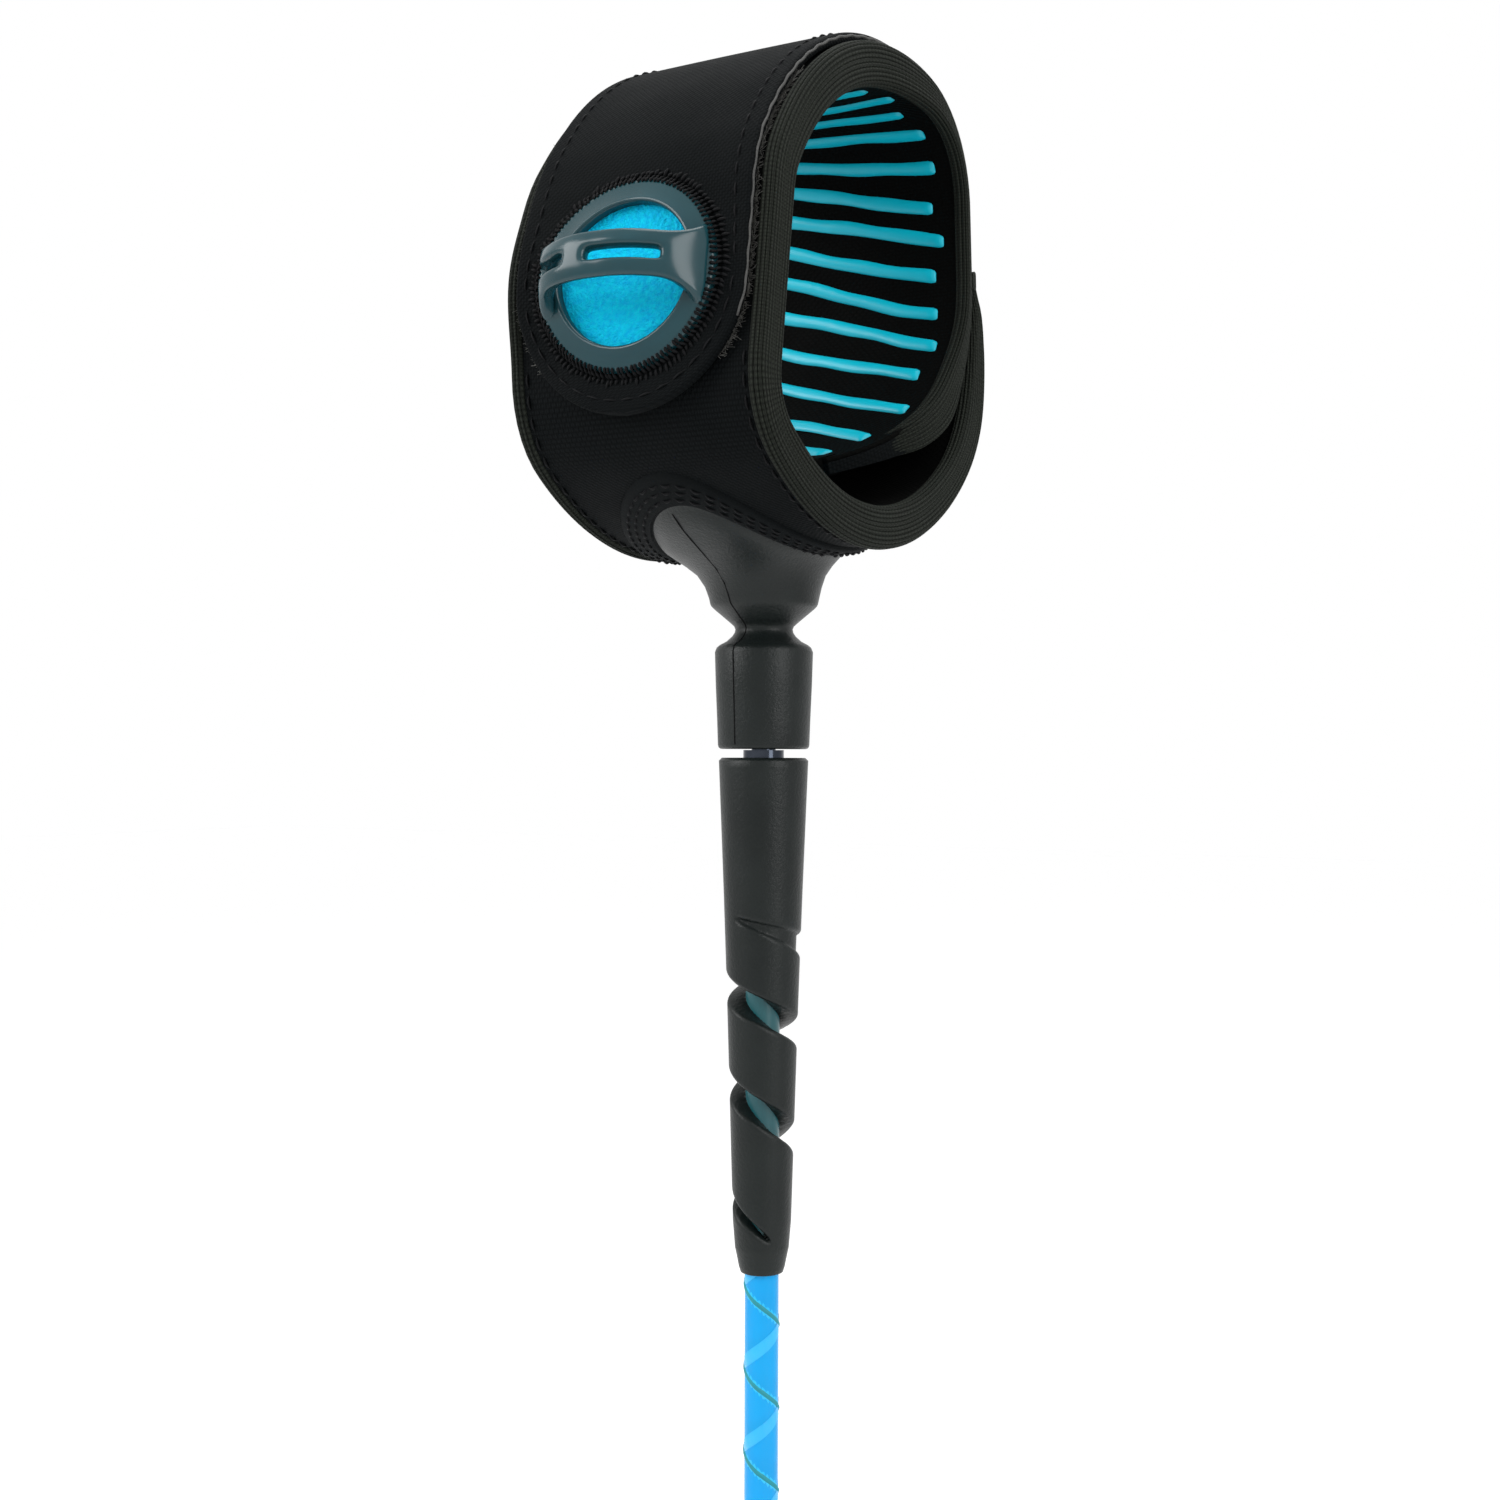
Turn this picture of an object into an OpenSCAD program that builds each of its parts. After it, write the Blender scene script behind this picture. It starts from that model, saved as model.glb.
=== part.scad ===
// Surf leash: ankle cuff, swivel, strain reliefs, cord put away in a hank, and rail saver.
// X runs along the leg through the cuff, the strap tab faces -Y, and +Z points up. The origin is
// the centre of the ankle opening, on the axis of the swivel.

/* [Cuff band] */
// Width of the cuff along the leg
cuff_w = 55; // [48:1:64]
// Thickness of the padded band
band_t = 7.6; // [6.6:0.1:8.6]
// Thickness of the grippy lining
lining_t = 1.2; // [0.8:0.1:1.6]
// Thickness of the neoprene skin
skin_t = 1.6; // [1.3:0.1:2]
// Thickness of the band at its outer end, where it is pressed flat
lap_end_t = 3.4; // [3.2:0.1:4.5]
// Length over which the outer end thins
lap_taper = 26; // [18:1:34]
// Space between the two bindings where the band overlaps
lap_clear = 0.3; // [0.2:0.1:0.6]
// Height of the opening's centre above the outside of the sole
sole_drop = 51; // [49:0.5:54]
// How far the sole's lowest line lies behind the swivel axis
sole_shift = -4; // [-8:0.5:2]

/* [Wrap of the band, from its inner end] */
// Heading of the inner end, from straight back
start_heading = 22; // [18:1:30]
// Radius of the inner end, which curls into the opening
flap_r = 50; // [42:1:58]
// Turn of the inner end
flap_turn = 43; // [36:1:46]
// Radius up the lower back
rear_low_r = 34; // [30:1:40]
// Turn up the lower back
rear_low_turn = 29; // [24:1:34]
// Straight stretch up the back
rear_run = 15.5; // [12:0.5:22]
// Radius of the upper back corner
rear_top_r = 17; // [14:1:20]
// Turn of the upper back corner
rear_top_turn = 77; // [72:1:80]
// Radius over the top
top_r = 53; // [48:1:58]
// Turn over the top
top_turn = 68; // [62:1:72]
// Radius of the upper front corner
front_top_r = 15; // [13:1:20]
// Turn of the upper front corner
front_top_turn = 23; // [18:1:28]
// Straight stretch down the front, under the strap tab
front_run = 33.2; // [32:0.1:36]
// Radius of the lower front corner
front_low_r = 11; // [9:1:14]
// Turn of the lower front corner
front_low_turn = 60; // [54:1:64]
// Radius of the sole
sole_r = 53; // [48:1:58]
// Turn of the sole
sole_turn = 57; // [52:1:62]
// Straight stretch outside the first layer
lap_run = 5.5; // [4:0.5:10]

/* [Binding and grip] */
// Thickness of the binding tape
bind_t = 0.6; // [0.4:0.1:1]
// How far the tape laps onto the band
bind_lap = 3.4; // [3:0.1:5]
// Width of a silicone grip line
grip_w = 3; // [2:0.25:4]
// Height of a silicone grip line
grip_h = 0.7; // [0.4:0.1:1]
// Distance from one grip line to the next
grip_pitch = 7.7; // [6:0.1:9]
// Where the first grip line lies, from the band's inner end
grip_first = 8.4; // [8:0.1:14]
// How far the last grip line lies past the middle of the sole
grip_past = 22; // [16:1:26]
// How far the grip lines stop from the binding
grip_margin = 3; // [2:0.5:6]
// Width of the load webbing
webbing_w = 25; // [20:1:30]
// Thickness of the load webbing
webbing_t = 1.2; // [0.8:0.1:1.6]
// Length of the load webbing
webbing_l = 90; // [70:1:110]

/* [Closure strap] */
// Thickness of the closure strap
strap_t = 2.2; // [1.8:0.1:3]
// Gap between the strap and the band
strap_gap = 0.3; // [0.25:0.05:0.5]
// Length of the strap that is sewn to the band's outer end
strap_sewn = 10; // [8:1:14]
// Gap between the strap and the tab, at the line where the tab folds
fold_gap = 0.4; // [0.3:0.1:0.8]
// How far the tab's round end lies below the ring's centre
tab_drop = 1.5; // [0:0.5:3]
// Length of the loop panel above the tab
loop_above = 20; // [14:1:24]
// Length of the loop panel below the pull ring's centre
loop_below = 16; // [12:1:18]
// Thickness of the loop panel in the skin
loop_t = 0.8; // [0.5:0.1:1]
// Thickness of the hook patch under the tab
hook_t = 0.8; // [0.5:0.1:1]
// Height of the fold line above the ring's centre
tab_top = 19.5; // [19:0.5:22]
// Height of the ring's centre above the lower end of the front stretch
ring_up = 16; // [15:0.5:17]

/* [Pull ring] */
// Outer radius of the ring
ring_r = 18.3; // [17:0.1:19]
// Radius of the hole in the ring
ring_hole_r = 14.6; // [13:0.1:15.5]
// Thickness of the ring
ring_t = 1.8; // [1.4:0.1:2.4]
// Height of the arch above the ring
arch_h = 11; // [9:0.5:13]
// Width of the arch
arch_w = 8.2; // [7:0.1:10]
// Thickness of the arch
arch_t = 2.1; // [1.6:0.1:2.6]
// Width of the slots in the arch
slot_w = 3; // [2:0.1:3.6]
// Width of the web between the slots
slot_web = 2.6; // [2:0.1:5]
// Thickness of the coloured disc behind the ring
disc_t = 0.6; // [0.4:0.1:1]

/* [Horn and barrel] */
// Reach of the sewn pad, along the leg
pad_x = 17; // [14:0.5:20]
// Reach of the sewn pad, around the sole
pad_y = 30; // [25:0.5:34]
// Thickness of the sewn pad
pad_t = 1.8; // [1.4:0.1:2.4]
// Radius of the horn's mouth
mouth_r = 16; // [14.5:0.5:18]
// Radius of the horn's lip
lip_r = 11; // [10.5:0.1:12]
// Height of the horn from sole to lip
horn_h = 11; // [9:0.5:14]
// Radius of the neck
neck_r = 5.9; // [5.2:0.1:7]
// Drop from the lip to the neck
neck_drop = 4.6; // [4:0.1:6]
// Drop from the neck to the barrel's shoulder
shoulder_drop = 4.3; // [3.5:0.1:5.5]
// Radius of the barrel at its shoulder
barrel_r = 10.1; // [9.6:0.1:11]
// Radius of the barrel at its lower end
barrel_low_r = 9.4; // [9:0.1:10]
// Length of the barrel
barrel_l = 20.3; // [19:0.1:24]

/* [Swivel] */
// Radius of the swivel pin
pin_r = 2.5; // [2:0.1:3]
// Running clearance round the pin
pin_fit = 0.05; // [0.03:0.01:0.08]
// Radius of the pin's head
head_r = 4.6; // [4:0.1:5]
// Thickness of the pin's head
head_t = 3; // [2:0.1:4]
// Thickness of the thrust washer
washer_t = 1; // [0.6:0.1:1.4]
// Wall of the steel cup in the barrel
cup_wall = 1.3; // [1:0.1:1.6]
// Clearance round the head in the cup
cup_gap = 0.3; // [0.2:0.05:0.4]
// Radius of the collar that shows between barrel and relief
collar_r = 4.2; // [3.6:0.1:5]
// Gap between barrel and relief
swivel_gap = 1.8; // [1.4:0.1:2.4]

/* [Strain relief] */
// Length of the relief
relief_l = 105.5; // [100:0.5:110]
// Radius of the relief at the swivel
relief_r = 9.2; // [8.8:0.1:10]
// Radius of the relief where its coils end
relief_low_r = 6; // [5.6:0.1:7]
// Radius of the relief's mouth
relief_mouth_r = 4.5; // [4.2:0.1:5]
// Where the spiral cut starts, as a share of the relief's length
cut_start_ratio = 0.3128; // [0.3:0.001:0.33]
// Rise of the spiral cut in its first turn, as a share of the length
cut_rise_ratio = 0.1393; // [0.13:0.001:0.142]
// How much the rise grows with each turn, as a share of the length
cut_growth_ratio = 0.018; // [0.014:0.001:0.019]
// Half the height of the spiral cut
cut_half = 2.6; // [1.8:0.1:3.2]
// Radius of the crimp
crimp_r = 5; // [4.6:0.1:5.4]
// Space between the crimp and the cut
crimp_clear = 1.3; // [1:0.1:4]

/* [Rail saver] */
// Width of the webbing
saver_w = 38; // [30:1:40]
// Thickness of the webbing
saver_t = 2; // [1.5:0.1:2.5]
// Length of the rail saver below the eye
saver_l = 76; // [70:1:80]
// Radius inside the fold that takes the board's string
string_r = 3.2; // [2.8:0.1:4]
// Length of the flap
flap_l = 50; // [44:1:52]
// Thickness of each half of the flap's fastener
fastener_t = 1; // [0.7:0.1:1.3]

/* [Cord] */
// Diameter of the cord
cord_d = 7; // [6:0.5:7]
// Turns of cord in the hank
hank_turns = 4; // [3:1:4]

/* [Hidden] */
$fn = 48;
STEP = 2.5;      // spacing of the stations along the wrap
EPS = 0.01;

// The wrap is a chain of arcs and straights on the inside of the band. A state is
// [y, z, heading, length so far], and a heading of 0 points to +Y, 90 to +Z.
open_run = [[flap_r, flap_turn], [rear_low_r, rear_low_turn], [rear_run, 0],
    [rear_top_r, rear_top_turn], [top_r, top_turn], [front_top_r, front_top_turn],
    [front_run, 0], [front_low_r, front_low_turn], [sole_r, sole_turn]];
REAR = 2;
FRONT = 6;
SOLE = 8;

function go(st, move, part = 1) = move[1] == 0
    ? [st[0] + move[0] * part * cos(st[2]), st[1] + move[0] * part * sin(st[2]), st[2],
        st[3] + move[0] * part]
    : let (c = arc_centre(st, move[0]), out = st[2] + move[1] * part - 90)
        [c[0] + move[0] * cos(out), c[1] + move[0] * sin(out), out + 90,
            st[3] + move[0] * move[1] * part * PI / 180];
function arc_centre(st, r) = [st[0] - r * sin(st[2]), st[1] + r * cos(st[2])];
function chain(start, run) = [
    for (i = 0, st = start; i <= len(run); st = go(st, run[min(i, len(run) - 1)]), i = i + 1) st];

// The last arc brings the outer layer up the back, just outside the first layer.
loose = chain([0, 0, start_heading, 0], open_run);
rear_out = loose[REAR][2] - 90;
before_close = loose[len(open_run)];
close_turn = loose[REAR][2] + 360 - before_close[2];
reach_now = (before_close[0] - loose[REAR][0]) * cos(rear_out)
    + (before_close[1] - loose[REAR][1]) * sin(rear_out);
close_r = (band_t + 2 * bind_t + lap_clear - reach_now) / (1 - cos(close_turn));
wrap_run = concat(open_run, [[close_r, close_turn], [lap_run, 0]]);
sole_centre = arc_centre(loose[SOLE], sole_r);
wrap = chain([sole_shift - sole_centre[0], sole_r + band_t - sole_drop - sole_centre[1],
    start_heading, 0], wrap_run);
wrap_end = wrap[len(wrap_run)][3];

function stretch(s) = max([for (i = [0:len(wrap_run) - 1]) if (i == 0 || wrap[i][3] <= s) i]);
function at(s) = let (i = stretch(s))
    go(wrap[i], wrap_run[i], (s - wrap[i][3]) / (wrap[i + 1][3] - wrap[i][3]));
function on(s, d) = let (p = at(s)) [p[0] + d * sin(p[2]), p[1] - d * cos(p[2])];
// Between stations a point lies on the chord, so that neighbouring layers share their faces.
// Before the start it lies on the first chord run on.
function off(s, d) = let (k = max(0, floor(s / STEP + EPS / 10)), f = s / STEP - k)
    abs(f) < EPS ? on(s, d) : on(k * STEP, d) * (1 - f) + on(k * STEP + STEP, d) * f;
function thick(s) = s < wrap_end - lap_taper ? band_t
    : band_t + (lap_end_t - band_t) * (s - wrap_end + lap_taper) / lap_taper;
function stations(s0, s1) = concat([s0],
    [for (k = [max(1, ceil(s0 / STEP)):1:floor(s1 / STEP)]) if (k * STEP > s0 + EPS && k * STEP < s1 - EPS)
        k * STEP], [s1]);
function backwards(list) = [for (i = [len(list) - 1:-1:0]) list[i]];

half_w = cuff_w / 2;
strap_w = cuff_w - 2 * bind_lap - 0.2;
strap_off = band_t + strap_gap;                 // inner face of the strap
front_s = wrap[FRONT][3];                       // start of the straight front stretch
ring_s = front_s + front_run - ring_up;
fold_s = ring_s - tab_top;
sole_s = (wrap[SOLE][3] + wrap[SOLE + 1][3]) / 2;

// A side of a layer is [a, b]: it lies a + b * thick(s) outside the wrap.
module layer(s0, s1, low, high, w) {
    ss = stations(s0, s1);
    translate([-w / 2, 0, 0]) rotate([90, 0, 90]) linear_extrude(w) polygon(concat(
        [for (s = ss) off(s, low[0] + low[1] * thick(s))],
        [for (s = backwards(ss)) off(s, high[0] + high[1] * thick(s))]));
}

// Puts its children on the band: their z points outwards and their y up the front.
module on_band(s, d = 0) {
    p = off(s, d);
    translate([0, p[0], p[1]]) rotate([at(s)[2] - 180, 0, 0]) children();
}

module webbing_zone(extra = 0) layer(sole_s - webbing_l / 2, sole_s + webbing_l / 2,
    [-skin_t - webbing_t, 1], [extra - skin_t, 1], webbing_w);

loop_s0 = fold_s - loop_above;
loop_s1 = ring_s + loop_below;
module loop_zone(extra = 0) layer(loop_s0, loop_s1, [-loop_t, 1], [extra, 1], strap_w - 4);
module loop_panel() color("#161718") loop_zone();
module cuff_skin() color("#1b1c1d") difference() {
    layer(0, wrap_end, [-skin_t, 1], [0, 1], cuff_w - 2 * bind_t);
    loop_zone(1);
}
module cuff_padding() color("#232425") difference() {
    layer(0, wrap_end, [lining_t, 0], [-skin_t, 1], cuff_w - 2 * bind_t);
    webbing_zone(1);
}
module cuff_lining() color("#0d0e0f") layer(0, wrap_end, [0, 0], [lining_t, 0], cuff_w - 2 * bind_t);
module load_webbing() color("#202224") webbing_zone();

// Grip lines run along the leg on the lining, all round the part that touches the ankle.
grip_last = sole_s + grip_past;
module grip_lines() color("#12b4cf")
    for (s = [grip_first:grip_pitch:grip_last])
        layer(s - grip_w / 2, s + grip_w / 2, [-grip_h, 0], [0, 0],
            cuff_w - 2 * (bind_lap + grip_margin));

// Ribbed tape folded over a long edge. The band runs on past both ends of the cutting shape.
module edge_binding(side) translate([side * (half_w - bind_lap / 2), 0, 0]) difference() {
    layer(0, wrap_end, [-bind_t, 0], [bind_t, 1], bind_lap);
    translate([-side * bind_t, 0, 0]) layer(-1, wrap_end + 1, [0, 0], [0, 1], bind_lap);
}
module binding_near() color("#33352f") edge_binding(1);
module binding_far() color("#33352f") edge_binding(-1);

// Tape over a short end of the band. The band's path runs on straight past its outer end.
module binding_outer_end() color("#33352f")
    layer(wrap_end, wrap_end + 2 * bind_t, [0, 0], [0, 1], cuff_w);
module binding_inner_end() color("#33352f")
    layer(-2 * bind_t, 0, [-bind_t, 0], [bind_t, 1], cuff_w);

// The strap is sewn to the band's outer end and follows the first layer over the top. It lifts
// about the outer face at the end of the sewn stretch.
step_down = 10;          // length in which the strap comes down from the outer layer to the first
sewn_end = wrap_end + 2 * bind_t;
strap_from = wrap[REAR][3] + step_down + (off(sewn_end, 0)[1] - off(wrap[REAR][3], band_t)[1]);
module strap_anchor() color("#191a1b")
    layer(wrap_end - strap_sewn, sewn_end - fold_gap, [0, 1], [strap_t, 1], strap_w);
fold_rise = tab_top + fold_gap - ring_s + front_s;   // from the flat front up to the strap's end
flat_front = at(ring_s)[2];
strap_in = concat([concat(off(sewn_end, thick(sewn_end) + strap_gap), at(sewn_end)[2] - 360)],
    [for (s = stations(strap_from, front_s - 0.8 * fold_rise)) concat(off(s, strap_off), at(s)[2])],
    [concat(off(front_s, strap_off) - fold_rise * [cos(flat_front), sin(flat_front)], flat_front)]);
module closure_strap() color("#191a1b")
    translate([-strap_w / 2, 0, 0]) rotate([90, 0, 90]) linear_extrude(strap_w) polygon(concat(
        [for (p = strap_in) [p[0], p[1]]],
        [for (p = backwards(strap_in)) [p[0] + strap_t * sin(p[2]), p[1] - strap_t * cos(p[2])]]));

// The tab is a flat tongue with a round end. It peels about its outer face at the fold.
module tongue(w, t) linear_extrude(t) difference() {
    union() {
        translate([0, -tab_drop]) circle(r = w / 2);
        translate([-w / 2, -tab_drop]) square([w, tab_top + tab_drop]);
    }
    translate([-w, tab_top]) square([2 * w, w]);
}
module strap_tab() color("#191a1b") on_band(ring_s, strap_off) difference() {
    tongue(strap_w, strap_t);
    translate([0, 0, -EPS]) tongue(strap_w - 4, hook_t + EPS);
}
module hook_patch() color("#101112") on_band(ring_s, strap_off)
    tongue(strap_w - 4, hook_t);

ring_base = strap_off + strap_t;
module tab_disc() color("#18b6e6") on_band(ring_s, ring_base)
    cylinder(r = (ring_r + ring_hole_r) / 2, h = disc_t);

// The arch is a stretch of a round hoop that stands on the ring's two sides.
arch_foot = ring_r - arch_t / 2;
arch_r = (arch_foot * arch_foot + arch_h * arch_h) / (2 * arch_h);
slot_reach = ring_hole_r - 1.6;
module pull_ring() color("#38505a") on_band(ring_s, ring_base) {
    difference() {
        cylinder(r = ring_r, h = ring_t + disc_t);
        translate([0, 0, -1]) cylinder(r = ring_hole_r, h = ring_t + disc_t + 2);
        translate([0, 0, -1]) cylinder(r = (ring_r + ring_hole_r) / 2, h = disc_t + 1);
    }
    difference() {
        translate([0, 0, disc_t + ring_t + arch_h - arch_r]) rotate([90, 0, 0])
            cylinder(r = arch_r, h = arch_w, center = true, $fn = 96);
        translate([0, 0, disc_t + ring_t + arch_h - arch_r]) rotate([90, 0, 0])
            cylinder(r = arch_r - arch_t, h = arch_w + 2, center = true, $fn = 96);
        translate([0, 0, disc_t + ring_t / 2 - 50]) cube([100, 100, 100], center = true);
        for (side = [-1, 1])
            translate([side * (slot_web + slot_reach) / 2, 0, 30 + disc_t + ring_t])
                cube([slot_reach - slot_web / 2, slot_w, 60], center = true);
    }
}

// Heights of the swivel column, from the sole down.
horn_top = -sole_drop;
lip_z = horn_top - horn_h;
neck_z = lip_z - neck_drop;
shoulder_z = neck_z - shoulder_drop;
barrel_end = shoulder_z - barrel_l;
relief_top = barrel_end - swivel_gap;
cup_r = head_r + cup_gap + cup_wall;
cup_base = 8;            // solid length of the cup round the pin's shank
cup_l = cup_base + washer_t + head_t + 2 * cup_gap + cup_wall;
cup_low = 2;             // wall of moulding under the cup

// The barrel stands with its open end at z = 0 and its shoulder above.
module barrel_cavity() {
    translate([0, 0, cup_low]) cylinder(r = cup_r, h = cup_l);
    translate([0, 0, -1]) cylinder(r = pin_r + 0.3, h = cup_low + 2);
}
module cup() difference() {
    translate([0, 0, cup_low]) cylinder(r = cup_r, h = cup_l);
    translate([0, 0, cup_low - 1]) cylinder(r = pin_r + pin_fit, h = cup_base + 2);
    translate([0, 0, cup_low + cup_base]) cylinder(r = head_r + cup_gap, h = washer_t + head_t + 2 * cup_gap);
}
washer_z = cup_low + cup_base + cup_gap / 2;
module washer() translate([0, 0, washer_z]) difference() {
    cylinder(r = head_r, h = washer_t);
    translate([0, 0, -1]) cylinder(r = pin_r + pin_fit, h = washer_t + 2);
}
pin_tail = 13;           // length of pin held in the relief and the crimp
tail_r = pin_r + 0.6;
module pin() {
    head_z = washer_z + washer_t + 0.05;
    translate([0, 0, head_z]) cylinder(r = head_r, h = head_t);
    translate([0, 0, -swivel_gap - pin_tail]) cylinder(r = pin_r, h = head_z + swivel_gap + pin_tail);
    translate([0, 0, -swivel_gap]) cylinder(r = collar_r, h = swivel_gap - 0.2);
    translate([0, 0, -swivel_gap - pin_tail]) cylinder(r = tail_r, h = pin_tail);
}

// The sewn pad follows the sole; the horn flares from it and narrows to the neck and barrel.
module horn() color("#26282a") difference() {
    union() {
        intersection() {
            layer(wrap[SOLE - 1][3], wrap[SOLE + 2][3] - 40, [0, 1], [pad_t, 1], 2 * pad_x + 2);
            translate([0, 0, horn_top - 15]) linear_extrude(40)
                polygon([for (a = [0:7.5:359]) [pad_x * cos(a), pad_y * sin(a)]]);
        }
        rotate_extrude($fn = 64) polygon(concat(
            [[0, barrel_end], [barrel_low_r - 0.4, barrel_end], [barrel_low_r, barrel_end + 0.4],
                [barrel_r, shoulder_z - 1], [barrel_r - 1, shoulder_z], [neck_r + 0.6, neck_z - 0.8],
                [neck_r, neck_z], [neck_r + 0.6, neck_z + 0.8], [lip_r - 0.6, lip_z - 0.6]],
            [for (k = [0:0.125:1]) [lip_r + (mouth_r - lip_r) * pow(k, 3), lip_z + horn_h * k]],
            [[mouth_r, horn_top + 3], [0, horn_top + 3]]));
    }
    layer(wrap[SOLE - 1][3], wrap[SOLE + 2][3] - 40, [0, 0], [0, 1], cuff_w);
    translate([0, 0, barrel_end]) barrel_cavity();
}
module swivel_cup() color("#b9bcc0") translate([0, 0, barrel_end]) cup();
module swivel_pin() color("#c9ccd0") translate([0, 0, barrel_end]) pin();
module thrust_washer() color("#e8e6dc") translate([0, 0, barrel_end]) washer();

// The relief hangs from z = 0 at the swivel to its mouth: a tapered sleeve, a left-handed coil
// round the cord, and a short mouth. The cut between the coil's turns starts and ends narrow.
crimp_top = 10;          // depth of the crimp's upper end in the relief
cord_top = pin_tail + 2; // depth of the cord's end in the relief
cut_turns = 3.125;
cut_from = -96;          // angle at which the cut starts
coil_in = cord_d / 2 + 0.3;
function cut_depth(t) = relief_l
    * (cut_start_ratio + cut_rise_ratio * t + cut_growth_ratio * t * t);
function cut_open(t) = cut_half * min(1, 0.45 + 0.8 * t, (cut_turns - t) * 1.1 + 0.2);
coil_top = cut_depth(0) - cut_open(0) - 0.5;
crimp_l = coil_top - crimp_top - crimp_clear;
coil_end = cut_depth(cut_turns) + cut_open(cut_turns) + 0.5;
function relief_at(d) = lookup(d / relief_l, [[0.006, relief_r], [0.265, relief_r - 1.1],
    [0.483, relief_r - 1.9], [0.9, relief_low_r], [0.967, relief_low_r - 0.8],
    [1, relief_mouth_r]]);
module relief_sleeve() rotate_extrude() polygon([[tail_r, 0], [relief_r - 0.6, 0],
    [relief_r, -0.6], [relief_at(0.265 * relief_l), -0.265 * relief_l],
    [relief_at(coil_top), -coil_top], [coil_in, -coil_top], [coil_in, -crimp_top - crimp_l],
    [crimp_r, -crimp_top - crimp_l], [crimp_r, -crimp_top], [tail_r, -crimp_top]]);
module relief_tip() rotate_extrude() polygon([[coil_in, -coil_end - 0.05],
    [relief_at(coil_end), -coil_end - 0.05], [relief_at(0.967 * relief_l), -0.967 * relief_l],
    [relief_mouth_r, -relief_l], [coil_in, -relief_l]]);
function coil_high(t) = t < 1 ? coil_top : cut_depth(t - 1) + cut_open(t - 1);
function coil_low(t) = t > cut_turns ? coil_end : cut_depth(t) - cut_open(t);
module coil() {
    n = 24;
    turns = concat([0.02], [for (i = [1:n - 1]) i / n], [0.995, 1.005],
        [for (i = [n + 1:cut_turns * n - 1]) i / n], [cut_turns - 0.005, cut_turns + 0.005],
        [for (i = [cut_turns * n + 1:cut_turns * n + n - 1]) i / n], [cut_turns + 0.98]);
    last = len(turns) - 1;
    rings = [for (t = turns) let (a = cut_from + 360 * t, d0 = coil_high(t), d1 = coil_low(t))
        [for (q = [[coil_in, -d0], [relief_at(d0), -d0], [relief_at(d1), -d1], [coil_in, -d1]])
            [q[0] * cos(a), q[0] * sin(a), q[1]]]];
    polyhedron([for (ring = rings) each ring], concat([[0, 2, 1], [0, 3, 2]],
        [for (i = [0:last - 1], j = [0:3]) let (k = (j + 1) % 4)
            each [[4 * i + j, 4 * i + 4 + k, 4 * i + 4 + j], [4 * i + j, 4 * i + k, 4 * i + 4 + k]]],
        [[4 * last + 3, 4 * last + 1, 4 * last + 2], [4 * last + 3, 4 * last, 4 * last + 1]]));
}
module crimp() rotate_extrude() polygon([[tail_r, -crimp_top], [crimp_r, -crimp_top],
    [crimp_r, -crimp_top - crimp_l], [cord_d / 2 + 0.05, -crimp_top - crimp_l],
    [cord_d / 2 + 0.05, -cord_top], [0, -cord_top], [0, -pin_tail], [tail_r, -pin_tail]]);
module cord_relief() color("#222426") translate([0, 0, relief_top]) relief_sleeve();
module relief_coil() color("#222426") translate([0, 0, relief_top]) coil();
module relief_mouth() color("#222426") translate([0, 0, relief_top]) relief_tip();
module cord_crimp() color("#a9acb0") translate([0, 0, relief_top]) crimp();

// The hank of spare cord hangs in line with the swivel.
hank_top = -262;
hank_h = 140;
hank_fold = 3 * cord_d;   // radius of the end loops
hank_step = 7.4;          // from one turn to the next
hank_y1 = hank_turns * hank_step + 3.2;
hank_half = hank_fold + cord_d / 2;

// Where the board's end hangs: its relief stands mouth up beside the hank.
board_x = -14;
board_y = hank_y1 + relief_r + 0.3;
board_mouth = -325;
board_low = board_mouth - relief_l;
module at_board() translate([board_x, board_y, board_low]) rotate([180, 0, 0]) children();
module board_relief() color("#222426") at_board() relief_sleeve();
module board_coil() color("#222426") at_board() coil();
module board_mouth_ring() color("#222426") at_board() relief_tip();
module board_crimp() color("#a9acb0") at_board() crimp();
module board_pin() color("#c9ccd0") at_board() translate([0, 0, swivel_gap]) pin();
module board_washer() color("#e8e6dc") at_board() translate([0, 0, swivel_gap]) washer();
module board_cup() color("#b9bcc0") at_board() translate([0, 0, swivel_gap]) cup();

// The board's barrel ends in a flat eye, whose bar carries the rail saver's webbing.
eye_w = saver_w + 8;
eye_h = 15;
eye_t = 9;
bar_r = 2.6;
eye_z = barrel_l + 2;     // from the barrel's open end to the start of the eye
bar_z = eye_z + eye_h - bar_r - 0.4;
module board_barrel() color("#26282a") at_board() translate([0, 0, swivel_gap]) difference() {
    union() {
        rotate_extrude($fn = 64) polygon([[0, 0], [barrel_low_r - 0.4, 0], [barrel_low_r, 0.4],
            [barrel_r, barrel_l - 1], [barrel_r - 1, barrel_l], [neck_r, eye_z], [0, eye_z]]);
        translate([-eye_w / 2, -eye_t / 2, eye_z - 1]) cube([eye_w, eye_t, 4]);
        for (side = [-1, 1])
            translate([side * (eye_w / 2 - 1.75) - 1.75, -eye_t / 2, eye_z]) cube([3.5, eye_t, eye_h]);
        translate([0, 0, bar_z]) rotate([0, 90, 0]) cylinder(r = bar_r, h = eye_w, center = true);
    }
    barrel_cavity();
}

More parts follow.
